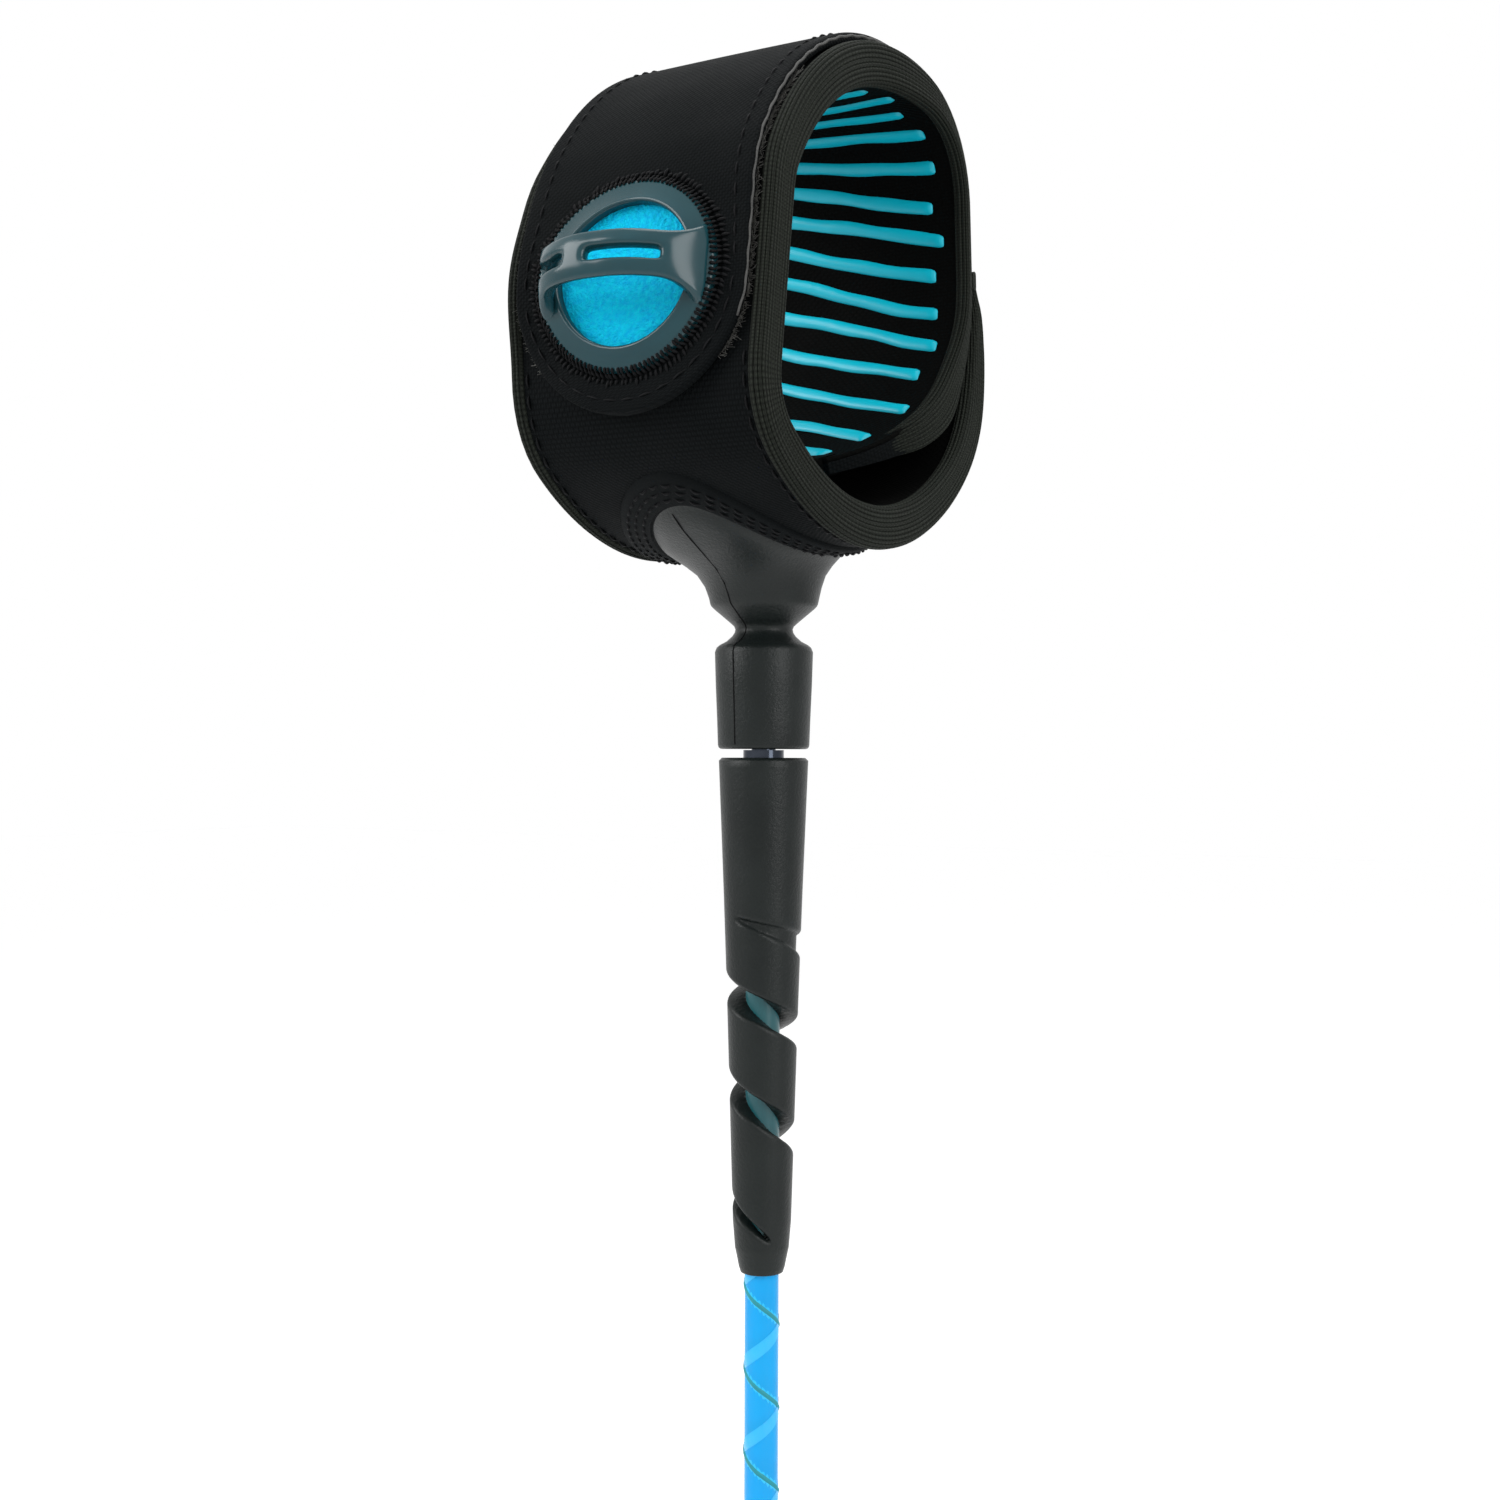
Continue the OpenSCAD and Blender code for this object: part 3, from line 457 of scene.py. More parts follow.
def smoothed(points, spacing):
    """The same route with even, closer points, on a Catmull-Rom line."""
    fine = []
    for i in range(len(points) - 1):
        p = [points[max(i - 1, 0)], points[i], points[i + 1], points[min(i + 2, len(points) - 1)]]
        count = max(1, round((p[2] - p[1]).length / spacing))
        for k in range(count):
            t = k / count
            fine.append(0.5 * (2 * p[1] + (p[2] - p[0]) * t
                               + (2 * p[0] - 5 * p[1] + 4 * p[2] - p[3]) * t * t
                               + (3 * p[1] - p[0] - 3 * p[2] + p[3]) * t ** 3))
    return fine + [points[-1]]


def heading_at(points, i):
    return (points[min(i + 1, len(points) - 1)] - points[max(i - 1, 0)]).normalized()


def frames_along(points):
    """A direction and two cross directions at each point, carried along without twist."""
    side = Vector((1, 0, 0))
    out = []
    for i, p in enumerate(points):
        ahead = heading_at(points, i)
        side = (side - ahead * side.dot(ahead)).normalized()
        out.append((p, ahead, side, ahead.cross(side)))
    return out


def tube(name, points, radius, sides, finish):
    ring = [(cos(2 * pi * j / sides), sin(2 * pi * j / sides)) for j in range(sides)]
    verts = [p + radius * (c * u + s * v) for p, _, u, v in frames_along(points) for c, s in ring]
    ends = [tuple(range(sides - 1, -1, -1)), tuple(range(len(verts) - sides, len(verts)))]
    return new_piece(name, verts, wall(len(points), sides) + ends, finish)


def wound(points, radius, pitch, turn, hand=-1):
    """A helix round a route, right-handed where hand is 1, and which way is out at its points."""
    gone, out, outward = 0, [], []
    for i, (p, _, u, v) in enumerate(frames_along(points)):
        gone += (p - points[i - 1]).length if i else 0
        a = turn + hand * 2 * pi * gone / pitch
        outward.append(cos(a) * u + sin(a) * v)
        out.append(p + radius * outward[-1])
    return out, outward


def ribbon(name, points, outward, half_width, finish):
    """A thin crowned strip along a line."""
    verts = []
    for i, p in enumerate(points):
        across = heading_at(points, i).cross(outward[i]).normalized() * half_width
        verts += [p - across - outward[i] * 0.00012, p, p + across - outward[i] * 0.00012]
    faces = [(i + j, i + j + 1, i + j + 4, i + j + 3)
             for i in range(0, len(verts) - 3, 3) for j in (0, 1)]
    return new_piece(name, verts, faces, finish)


# %% Cord and yarn
YARN_PITCH, YARN_TURN, FAR_TURN = 0.0171, radians(-53), radians(-1)
IN_SLEEVE_TO = -0.1935      # above this the cord lies in the cuff's sleeve
IN_BOARD_SLEEVE = 0.006     # and this close to the board sleeve's line it lies in that one
cord_line = smoothed(route, 0.0016)
cord = tube("cord_tube", cord_line, CORD_D / 2, 24, CORD)
# Faces of the cord inside the cuff's sleeve and inside the board's sleeve take the darker finish:
# painted shade.
cord.data.materials.append(SHADED)
for face in cord.data.polygons:
    aside = hypot(face.center.x - BOARD_X, face.center.y - BOARD_Y)
    if face.center.z > IN_SLEEVE_TO or (face.center.z < BOARD_MOUTH - 0.008 and aside < IN_BOARD_SLEEVE):
        face.material_index = 1
fine_line = smoothed(route, 0.0005)
open_from = next(i for i, p in enumerate(fine_line) if p.z < IN_SLEEVE_TO)
yarn_line = wound(fine_line, CORD_D / 2 - 0.00036, YARN_PITCH, YARN_TURN)[0]
yarn = tube("cord_yarn", yarn_line, 0.00062, 6, YARN)


def shown(lift, turn, hand=-1):
    """Where painted bands on the open cord's surface stand in for the yarn seen through it, and which
    way is out there.
    """
    return [part[open_from:] for part in wound(fine_line, CORD_D / 2 + lift, YARN_PITCH, turn, hand)]


# Painted light on the cord's surface: a pale glow over the yarn, and a pale right-handed band standing
# in for the yarn's far pass seen through the cord.
halo = ribbon("cord_yarn_halo", *shown(0.00004, YARN_TURN), 0.001, HALO)
far_side = ribbon("cord_yarn_far_side_painted_light", *shown(0.0001, FAR_TURN, 1), 0.0012, PAINTED_FAR_YARN_LIGHT)
join(yarn, halo, far_side)
for piece in (cord, yarn):
    worn(piece, "leash")
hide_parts("cord_run", "cord_hank", "cord_tail")
[tuple(p) for p in cord_line]
print("cord and yarn:", len(cord.data.polygons), "and", len(yarn.data.polygons), "faces")


# %% [markdown]
# ## The band
# The padded band is one long strip, rolled into an overlapping ring. Its inside follows a chain of
# arcs and straight stretches, so every layer of it, each edge tape and each seam can be swept
# along the same line at its own height. A place on the band is how far along it lies, how far
# out from the inside, and where across the leg.

# %% The wrap
MM = 0.001
BAND_T, BIND_T, HALF_W = 7.6, 0.6, 27.5
WRAP = [(50, 43), (34, 29), (15.5, 0), (17, 77), (53, 68), (15, 23), (33.2, 0), (11, 60), (53, 57),
        (46.305, 75), (5.5, 0)]
LAP_END_T, LAP_TAPER, LAP_CURVE = 1.5, 30, 1.7


def go(place, size, turn):
    """From a place on along an arc of radius size, or a straight stretch where turn is 0."""
    y, z, heading, gone = place
    if not turn:
        a = radians(heading)
        return (y + size * cos(a), z + size * sin(a), heading, gone + size)
    a, b = radians(heading), radians(heading + turn)
    return (y + size * (sin(b) - sin(a)), z - size * (cos(b) - cos(a)),
            heading + turn, gone + size * radians(turn))


CORNERS = [(5.28, -31.436, 22, 0)]
for radius, turn in WRAP:
    CORNERS.append(go(CORNERS[-1], radius, turn))
BAND_L = CORNERS[-1][3]
FRONT_S = CORNERS[6][3]
RING_S = FRONT_S + 17.2
FOLD_S = RING_S - 19.5
SOLE_S = (CORNERS[8][3] + CORNERS[9][3]) / 2


def along(s):
    """Place and heading on the inside of the band, s millimetres from its inner end."""
    i = max([k for k in range(len(WRAP)) if CORNERS[k][3] <= s] or [0])
    size, turn = WRAP[i]
    part = (s - CORNERS[i][3]) / (CORNERS[i + 1][3] - CORNERS[i][3])
    if not part:
        return CORNERS[i]
    return go(CORNERS[i], size, turn * part) if turn else go(CORNERS[i], size * part, 0)


def ramped(t):
    """From 0 to 1 with soft ends."""
    t = max(0.0, min(1.0, t))
    return t * t * (3 - 2 * t)


def thick(s):
    """The band is pared thin at both ends."""
    if s > BAND_L - LAP_TAPER:
        part = min(1.0, (s - BAND_L + LAP_TAPER) / LAP_TAPER)
        return BAND_T + (LAP_END_T - BAND_T) * part ** LAP_CURVE
    return BAND_T * (0.5 + 0.5 * ramped(s / 28))


def near_edge(s, out, x):
    """The near edge draws in at the inner end, whose corner is cut round, and its inner lip
    stands forward at the back of the ring."""
    drawn = 15 * max(0.0, 1 - max(s, 0) / 30) ** 2
    at_back = ramped((s - 22) / 26) * ramped((118 - s) / 40)
    forward = 2.8 * at_back * (1 - out / BAND_T) * ramped((x - 14) / 13)
    return forward + (x - drawn if x > 22 else x - drawn * (x + HALF_W) / (22 + HALF_W))


def slump(p):
    """A cuff that has been worn: its far side bulges at the front, its near side at the low rear."""
    x, y, z = p.x / MM, p.y / MM, p.z / MM
    far, near = max(0.0, -x / HALF_W), max(0.0, x / HALF_W)
    front = exp(-((z + 2) / 16) ** 2) * min(1.0, max(0.0, -y / 30))
    rear = exp(-((z + 27) / 14) ** 2) * min(1.0, max(0.0, y / 30))
    return Vector((x, y - 5.0 * far * front + 2.2 * near * rear, z)) * MM


def on_band(s, out, x):
    """s millimetres along the band, out from its inside and x across the leg, in metres."""
    y, z, heading, _ = along(s)
    a = radians(heading)
    return slump(Vector((near_edge(s, out, x), y + out * sin(a), z - out * cos(a))) * MM)


def outward(place, s):
    """Which way is out from the cloth at s."""
    return (place(s, 2, 0) - place(s, 0, 0)).normalized()


def evenly(a, b, spacing):
    """Numbers from a to b in equal steps of about spacing."""
    count = max(1, round(abs(b - a) / spacing))
    return [a + (b - a) * i / count for i in range(count + 1)]


print("band length", round(BAND_L, 1), "mm")


# %% [markdown]
# One sweep makes skin, lining, tapes, strap and grip lines: a section is drawn at each station and
# the sections are joined. It also lays the piece's own map, in metres along and across, which
# the knits and weaves follow, so they run with the cloth.

# %% Sweep a section
def walked(chain):
    """How far along a flat chain each of its points lies."""
    walk = [0.0]
    for a, b in zip(chain, chain[1:]):
        walk.append(walk[-1] + dist(a, b))
    return walk


def sweep(name, stations, section, place, finish, body, smooth=40):
    """section(s) gives a closed loop of (across, out); place(s, out, across) puts it."""
    loops = [section(s) for s in stations]
    n = len(loops[0])
    verts = [place(s, out, x) for s, loop in zip(stations, loops) for x, out in loop]
    rim = [walked(loop + loop[:1]) for loop in loops]
    maps = [[(stations[i + up], rim[i + up][j + on]) for up, on in ((0, 0), (0, 1), (1, 1), (1, 0))]
            for i in range(len(stations) - 1) for j in range(n)]
    maps += [loops[0][::-1], loops[-1]]
    ends = [tuple(range(n - 1, -1, -1)), tuple(range(len(verts) - n, len(verts)))]
    made = new_piece(name, verts, wall(len(stations), n) + ends, finish)
    uv = made.data.uv_layers.new(name="surface")
    uv.data.foreach_set("uv", [c * MM for face in maps for corner in face for c in corner])
    return finished(made, body, smooth)


def opened(made):
    """The piece is in edit mode with all of it selected."""
    alone(made)
    bpy.ops.object.mode_set(mode="EDIT")
    bpy.ops.mesh.select_all(action="SELECT")


def finished(made, body, smooth=40):
    """Normals outwards, sharp edges kept sharp, and the piece riding on its body."""
    opened(made)
    bpy.ops.mesh.normals_make_consistent(inside=False)
    bpy.ops.object.mode_set(mode="OBJECT")
    bpy.ops.object.shade_smooth_by_angle(angle=radians(smooth))
    if body:
        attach(made, body)
    return made


def rounded(x0, x1, out0, out1, radius, steps=4):
    """A closed section with round corners."""
    loop = []
    for cx, cy, start in ((x1, out1, 0), (x0, out1, 90), (x0, out0, 180), (x1, out0, 270)):
        ox = cx - radius if start in (0, 270) else cx + radius
        oy = cy - radius if start in (0, 90) else cy + radius
        for k in range(steps + 1):
            a = radians(start + 90 * k / steps)
            loop.append((ox + radius * cos(a), oy + radius * sin(a)))
    return loop


# %% [markdown]
# ## Cuff
# The skin is black knit-faced neoprene, a little crowned between its edge tapes, over a foam core.
# It is swept round the wrap as one closed piece, and the lining is a thin one inside it.

# %% Skin, lining and edge tape
SKIN_HALF, LINING_T, FOAM_FILL = HALF_W - 0.9, 1.1, 0.7


def skin_section(s):
    t, w = thick(s), SKIN_HALF
    top = [(w - 2 * w * k / 16, t + 0.35 * sin(pi * k / 16) - 0.35) for k in range(17)]
    return top + [(-w, 1.0), (w, 1.0)]


skin = sweep("cuff_cover", evenly(0, BAND_L, 2), skin_section, on_band, NEOPRENE, "cuff")
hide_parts("cuff_skin", "cuff_padding", "load_webbing")
lining = sweep("cuff_jersey", evenly(0, BAND_L, 2),
               lambda s: rounded(-SKIN_HALF, SKIN_HALF, 0, LINING_T, 0.3, 1),
               on_band, LINING, "cuff")
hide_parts("cuff_lining")

RIBS, RIB_H, TAPE_LAP, TAPE_FROM = 16, 0.36, 2.6, 8
QUARTER_TURN = [pi / 2 * k / 6 for k in range(1, 7)]


def tape_section(side):
    """Tape folded round the edge: its ribs run along the band."""
    def section(s):
        t = thick(s)
        sunk = max((1 - ramped((s - TAPE_FROM) / 10)) * (side > 0), 0.5 * ramped((s - BAND_L + 8) / 8))
        inner, outer, edge = -BIND_T + sunk, t + BIND_T - sunk, HALF_W - 1.2 * sunk
        bend = min(1.7, (outer - inner) / 2 - 0.1)
        line = [(edge - TAPE_LAP - 0.4, outer - 0.75), (edge - TAPE_LAP, outer - 0.25)]
        line += [(edge - TAPE_LAP + (TAPE_LAP - bend) * k / 4, outer) for k in range(1, 5)]
        line += [(edge - bend + bend * sin(a), outer - bend + bend * cos(a)) for a in QUARTER_TURN]
        line += [(edge, outer - bend - (outer - inner - 2 * bend) * k / 3) for k in range(1, 4)]
        line += [(edge - bend + bend * cos(a), inner + bend - bend * sin(a)) for a in QUARTER_TURN]
        line += [(edge - bend - (TAPE_LAP - bend) * k / 4, inner) for k in range(1, 5)]
        line += [(edge - TAPE_LAP - 0.4, inner + 0.6)]
        walk = walked(line)
        count = RIBS * 6
        loop, i = [], 0
        for k in range(count + 1):
            d = walk[-1] * k / count
            while i < len(walk) - 2 and walk[i + 1] < d:
                i += 1
            f = (d - walk[i]) / (walk[i + 1] - walk[i])
            (x0, y0), (x1, y1) = line[i], line[i + 1]
            deep = RIB_H * (1 - abs(sin(pi * k / 6))) ** 1.5 * (3 < k < count - 3)
            h = deep / dist(line[i], line[i + 1])
            loop.append((x0 + (x1 - x0) * f + (y1 - y0) * h, y0 + (y1 - y0) * f - (x1 - x0) * h))
        return [(side * x, out) for x, out in loop]
    return section


for side, title, start in ((1, "near", TAPE_FROM), (-1, "far", 0)):
    tape = sweep(f"edge_tape_{title}", evenly(start, BAND_L + 1, 1.8), tape_section(side), on_band,
                 BINDING, "cuff", smooth=70)
    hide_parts(f"binding_{title}")
# The inner end's tape wears the dark lining finish, not the tape's own: painted shade, where that end
# lies in shade inside the ring.
for title, s0, s1, low, short, finish in (
        ("inner_end", -1.0, 3.0, -0.2, 2.5, LINING),
        ("outer_end", BAND_L - 2.6, BAND_L + 1.4, 0.0, 0.5, BINDING)):
    tape = sweep(f"end_tape_{title}", evenly(-HALF_W + short, HALF_W - short, 3),
                 lambda x, low=low, s0=s0, s1=s1: rounded(s0, s1, low, thick(s1) + 0.1, 0.7),
                 lambda x, out, s: on_band(s, out, x), finish, "cuff")
    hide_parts(f"binding_{title}")
print("tapes:", len(tape.data.polygons), "faces on an end")


# %% [markdown]
# Silicone lines were piped across the lining by hand, so each one wavers a little, ends where it
# likes, and leans more the lower it lies on the back of the ring.

# %% Grip lines
def lean(s):
    return -0.3 * max(0.0, min(1.0, (104 - s) / 50)) ** 0.8


def grip_line(k, s):
    near = 22.4 - 2.0 * (0.5 + 0.5 * sin(2.4 * k + 0.7))
    far = -20.6 + 1.3 * sin(1.7 * k)
    xs = [far, far + 0.25, far + 0.9] + evenly(far + 2, near - 2, 1.6) + [near - 0.9, near - 0.25, near]

    def place(x, out, across):
        drift = 0.4 * sin(0.11 * x + 1.9 * k) + 0.08 * sin(0.45 * x + k)
        return on_band(max(s + lean(s) * (x - near) + drift + across, 0.5), -out, x)

    def section(x):
        end = min(x - far, near - x)
        tip = min(1.0, max(end, 0) / 0.9)
        w = (1.5 + 0.08 * sin(0.4 * x + 2 * k)) * (0.72 + 0.28 * sqrt(tip))
        high = 0.2 + 0.6 * sqrt(tip)
        return [(w * cos(a), high * sin(a) - 0.15) for a in (pi * j / 8 for j in range(9))]

    return sweep(f"grip_line_{k:02d}", xs, section, place, GRIP, "cuff", smooth=60)


GRIP_FROM, GRIP_STEP = 31.5, 7.7
grip_count = int((SOLE_S + 22 - GRIP_FROM) / GRIP_STEP) + 1
starts = [3.2, 11.5, 21.5] + [GRIP_FROM + GRIP_STEP * k for k in range(grip_count)]
grips = [grip_line(k, s) for k, s in enumerate(starts)]
grip = join(*grips)
grip.name = "grip_lines_piped"
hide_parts("grip_lines")
print("grip lines:", len(grips))


# %% [markdown]
# ## Strap and tab
# The strap is sewn to the band's outer end, comes down onto the first layer, runs over the top and
# ends in a round tab on the front. One line carries it all. It is made in two pieces that meet on top.

# %% The strap's line
STRAP_T, STRAP_GAP, STRAP_HALF = 2.2, 0.3, 24.0
TAB_FLAT = radians(along(RING_S)[2])


def strap_knots():
    knots = []
    for s in (BAND_L - 10, BAND_L - 6, BAND_L - 2, BAND_L + 1):
        knots.append(on_band(s, thick(s) + 0.1, 0))
    for s in evenly(68, FRONT_S - 5, 4):
        knots.append(on_band(s, BAND_T + STRAP_GAP, 0))
    base = on_band(RING_S, BAND_T + STRAP_GAP, 0)
    ahead = Vector((0, cos(TAB_FLAT), sin(TAB_FLAT))) * MM
    knots += [base + ahead * d for d in (-18, -13, -7, 0, 7, 13, 19, 22, 24, 25.5)]
    return knots


def laid_on(line, across=Vector((1, 0, 0))):
    """The line's length in millimetres, and what puts a point d along it, out from it and x across."""
    walk = [0.0]
    for a, b in zip(line, line[1:]):
        walk.append(walk[-1] + (b - a).length * 1000)

    def place(d, out, x):
        i = max(0, min(len(line) - 2, next((k for k, w in enumerate(walk) if w > d), len(line) - 1) - 1))
        p = line[i].lerp(line[i + 1], (d - walk[i]) / (walk[i + 1] - walk[i]))
        j, k = max(i - 1, 0), min(i + 2, len(line) - 1)
        outward = (line[k] - line[j]).normalized().cross(across)
        return p + (outward * out + across * x) * MM
    return walk[-1], place


STRAP_L, flat_strap = laid_on(smoothed(strap_knots(), 0.0012))
TOP_S = 62.0


def on_strap(d, out, x):
    """A place on the strap, d millimetres from its sewn end and out from its inner face."""
    return slump(flat_strap(d, out, x))


def tongue(d):
    """Half the strap's width at d: it ends in a half circle."""
    left = STRAP_L - d
    r = STRAP_HALF
    return r if left >= r else sqrt(max(r * r - (r - left) ** 2, 0.0)) + 0.02


def strap_section(d):
    w = max(tongue(d), 0.8)
    r = min(0.9, w * 0.6)
    crown = [(w - r - 2 * (w - r) * k / 10, STRAP_T + 0.12 * sin(pi * k / 10))
             for k in range(1, 10)]
    loop = rounded(-w, w, 0, STRAP_T, r)
    return loop[:5] + crown + loop[5:]


tip = [STRAP_L - STRAP_HALF * (1 - cos(pi / 2 * k / 22)) for k in range(22, 0, -1)]
strap_back = sweep("strap_back", evenly(0, TOP_S, 1.5), strap_section, on_strap, NEOPRENE, None)
strap_front = sweep("strap_front",
                    evenly(TOP_S, STRAP_L - STRAP_HALF, 1.5)[:-1] + tip + [STRAP_L - 0.02],
                    strap_section, on_strap, NEOPRENE, None)
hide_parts("strap_anchor", "closure_strap")
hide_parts("strap_tab")
print("strap length", round(STRAP_L, 1), "mm")


# %% [markdown]
# Seams are real stitches: short arcs of thread laid along a line, each standing a little out of
# the cloth. The same helper sews straight rows, curved rows and the zigzag round the ring.

# %% Stitches
def stitches(name, ends, thread=0.00021, rise=0.00028, cuts=4, sides=5):
    """One mesh of arched threads. Each of ends is (start, end, outward)."""
    verts, faces = [], []
    for a, b, outward in ends:
        ahead = (b - a).normalized()
        across = ahead.cross(outward).normalized()
        base = len(verts)
        for i in range(cuts + 1):
            t = i / cuts
            p = a.lerp(b, t) + outward * (rise * sin(pi * t) - thread * 0.5)
            fat = thread * (0.55 + 0.45 * sin(pi * t))
            for j in range(sides):
                q = 2 * pi * j / sides
                verts.append(p + fat * (cos(q) * across + sin(q) * outward))
        faces += [(f[1], f[0], f[3], f[2]) for f in wall(cuts + 1, sides, base)]
        end = len(verts) - 1
        faces += [tuple(range(base, base + sides)), tuple(range(end, end - sides, -1))]
    return new_piece(name, verts, faces, THREAD)


def seam(points, outwards, length, gap):
    """Ends of the stitches of one row along a line."""
    gone, ends, start = 0.0, [], None
    for i in range(1, len(points)):
        if start is None and gone >= gap:
            start, gone = points[i - 1], 0.0
        gone += (points[i] - points[i - 1]).length
        if start is not None and gone >= length:
            ends.append((start, points[i], outwards[i]))
            start, gone = None, 0.0
    return ends


STITCH, SKIPPED = 0.0026, 0.0008
SEAM_INSET, BOW_INSET, SKIN_SEAM_INSET = 3.4, 2.3, 3.9


def strap_edge_seam(d0, d1):
    """A row of stitches along each edge of the strap, which closes in on the edge at the tab."""
    rows = []
    for side in (1, -1):
        ds = evenly(d0, d1, 0.4)
        at_tab = [ramped((d - STRAP_L + STRAP_HALF + 20) / 20) for d in ds]
        points = [on_strap(d, STRAP_T + 0.05,
                           side * (STRAP_HALF - (SEAM_INSET - (SEAM_INSET - BOW_INSET) * t)))
                  for d, t in zip(ds, at_tab)]
        rows += seam(points, [outward(on_strap, d) for d in ds], STITCH, SKIPPED)
    return rows


def box_seam(place, out, half, low, high, length=0.0022):
    """A row of stitches round a rectangle; place(u, v, out) puts it."""
    corners = [(-half, low), (half, low), (half, high), (-half, high)]
    points = []
    for a, b in zip(corners, corners[1:] + corners[:1]):
        points += [place(a[0] + (b[0] - a[0]) * i / 60, a[1] + (b[1] - a[1]) * i / 60, out)
                   for i in range(60)]
    upward = (place(-half, low, out + 1) - place(-half, low, out)).normalized()
    return seam(points + [points[0]], [upward] * (len(points) + 1), length, SKIPPED)


def cut_edge(name, d0, d1):
    """The strap's cut edge shows its pale core as a thin uneven line."""
    line = [on_strap(d, STRAP_T * 0.62 + 0.1 * sin(1.3 * d), tongue(d) - 0.12)
            for d in evenly(d0, d1, 0.7)]
    return tube(name, line, 0.00032, 6, RAW_EDGE)


back_rows = strap_edge_seam(1.5, TOP_S - 0.4)
back_rows += box_seam(lambda u, v, out: on_strap(v, out, u), STRAP_T + 0.05, 18, 1.6, 8.6)
join(strap_back, cut_edge("back_edge", 0.5, TOP_S), stitches("strap_back_thread", back_rows))
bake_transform(strap_back)

front_rows = strap_edge_seam(TOP_S, STRAP_L - STRAP_HALF)
bow_r = STRAP_HALF - BOW_INSET
bow = [on_strap(STRAP_L - STRAP_HALF + bow_r * sin(a), STRAP_T + 0.1, bow_r * cos(a))
       for a in (pi * i / 160 for i in range(161))]
front_rows += seam(bow, [outward(on_strap, STRAP_L - 5)] * len(bow), STITCH, SKIPPED)
join(strap_front, cut_edge("front_edge", TOP_S, STRAP_L - 16),
     stitches("strap_front_thread", front_rows))
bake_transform(strap_front)

band_rows = []
for side in (1, -1):
    stations = evenly(RING_S + 14, BAND_L - 4, 0.4)
    points = [on_band(s, thick(s) - 0.18, side * (HALF_W - SKIN_SEAM_INSET)) for s in stations]
    band_rows += seam(points, [outward(on_band, s) for s in stations], STITCH, SKIPPED)
worn(stitches("band_thread", band_rows, thread=0.00026, rise=0.0004), "cuff")
print("seams of strap and band:", len(back_rows), len(front_rows), len(band_rows), "stitches")


# %% [markdown]
# Under the strap lies the loop half of the fastener on the band, and the hook half on the tab.
# Both are short fibres on a backing. The fibres show where they stick out at the strap's edge,
# so they are made there, one by one, from a seeded list of places.

# %% Fastener
def fibres(name, roots, seed, reach):
    """Short bent fibres. Each root is (place, up, sideways)."""
    rng = random.Random(seed)
    verts, faces = [], []
    for p, up, sideways in roots:
        lean_to = (sideways * rng.uniform(0.2, 1.0) + up * rng.uniform(0.2, 0.9)
                   + Vector((0, rng.uniform(-0.6, 0.6), rng.uniform(-0.6, 0.6)))).normalized()
        bend = Vector([rng.uniform(-0.6, 0.6) for _ in range(3)])
        size, fat = reach * rng.uniform(0.5, 1.2), rng.uniform(0.00007, 0.00012)
        base = len(verts)
        for i in range(4):
            t = i / 3
            c = p + lean_to * size * t + bend * size * 0.6 * t * t
            for j in range(3):
                q = 2 * pi * j / 3
                verts.append(c + fat * (1 - 0.4 * t)
                             * (cos(q) * up + sin(q) * lean_to.cross(up)))
        faces += wall(4, 3, base)
    return new_piece(name, verts, faces, FIBRE)


LOOP_FROM, LOOP_TO, LOOP_HALF, FIBRES = FOLD_S - 20, RING_S + 16, 23.4, 4200


def pile_half(s):
    """Half the loop panel's width at s: it is cut round under the tab."""
    past = max(0.0, s - RING_S - 1.5)
    return sqrt(LOOP_HALF ** 2 - past ** 2)


loops = sweep("loop_pile", evenly(LOOP_FROM, LOOP_TO, 1.5),
              lambda s: rounded(-pile_half(s), pile_half(s), BAND_T - 0.5, BAND_T + 0.26, 0.3, 2),
              on_band, HOOKS, "cuff")
rng = random.Random(5)
roots = []
for _ in range(FIBRES):
    s, side = rng.uniform(LOOP_FROM, LOOP_TO), rng.choice((1, -1))
    x = side * (pile_half(s) - rng.uniform(-0.5, 1.2))
    roots.append((on_band(s, BAND_T + 0.2, x), outward(on_band, s), Vector((side, 0, 0))))
worn(fibres("loop_fibres", roots, 7, 0.0014), "cuff")
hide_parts("loop_panel")
print("loop fibres:", len(roots))


# %% [markdown]
# ## Pull ring
# A ring of smoky clear plastic is sewn over a bright disc on the tab. Its arch is lifted with a
# finger. The ring is a profile spun round; the arch starts as a flat grid with its two slots
# left open, which is bent over a hoop, thickened and rounded by subdivision.

# %% Ring and disc
RING_BASE = BAND_T + STRAP_GAP + STRAP_T
TAB_CENTRE = on_band(RING_S, RING_BASE, 0)
TAB_OUT = outward(on_band, RING_S)
TAB_UP = Vector((1, 0, 0)).cross(TAB_OUT) * -1
RING_R, RING_LIP, DISC_T, RING_T = 18.3, 13.7, 0.6, 1.8
ARCH_H, ARCH_W, ARCH_T, COLUMNS, ROWS = 11.0, 8.2, 2.1, 24, 8


def on_tab(x, y, out):
    """x across the tab, y up it, out from the strap's face; all in millimetres."""
    return slump(TAB_CENTRE + (Vector((x, 0, 0)) + TAB_UP * y + TAB_OUT * out) * MM)


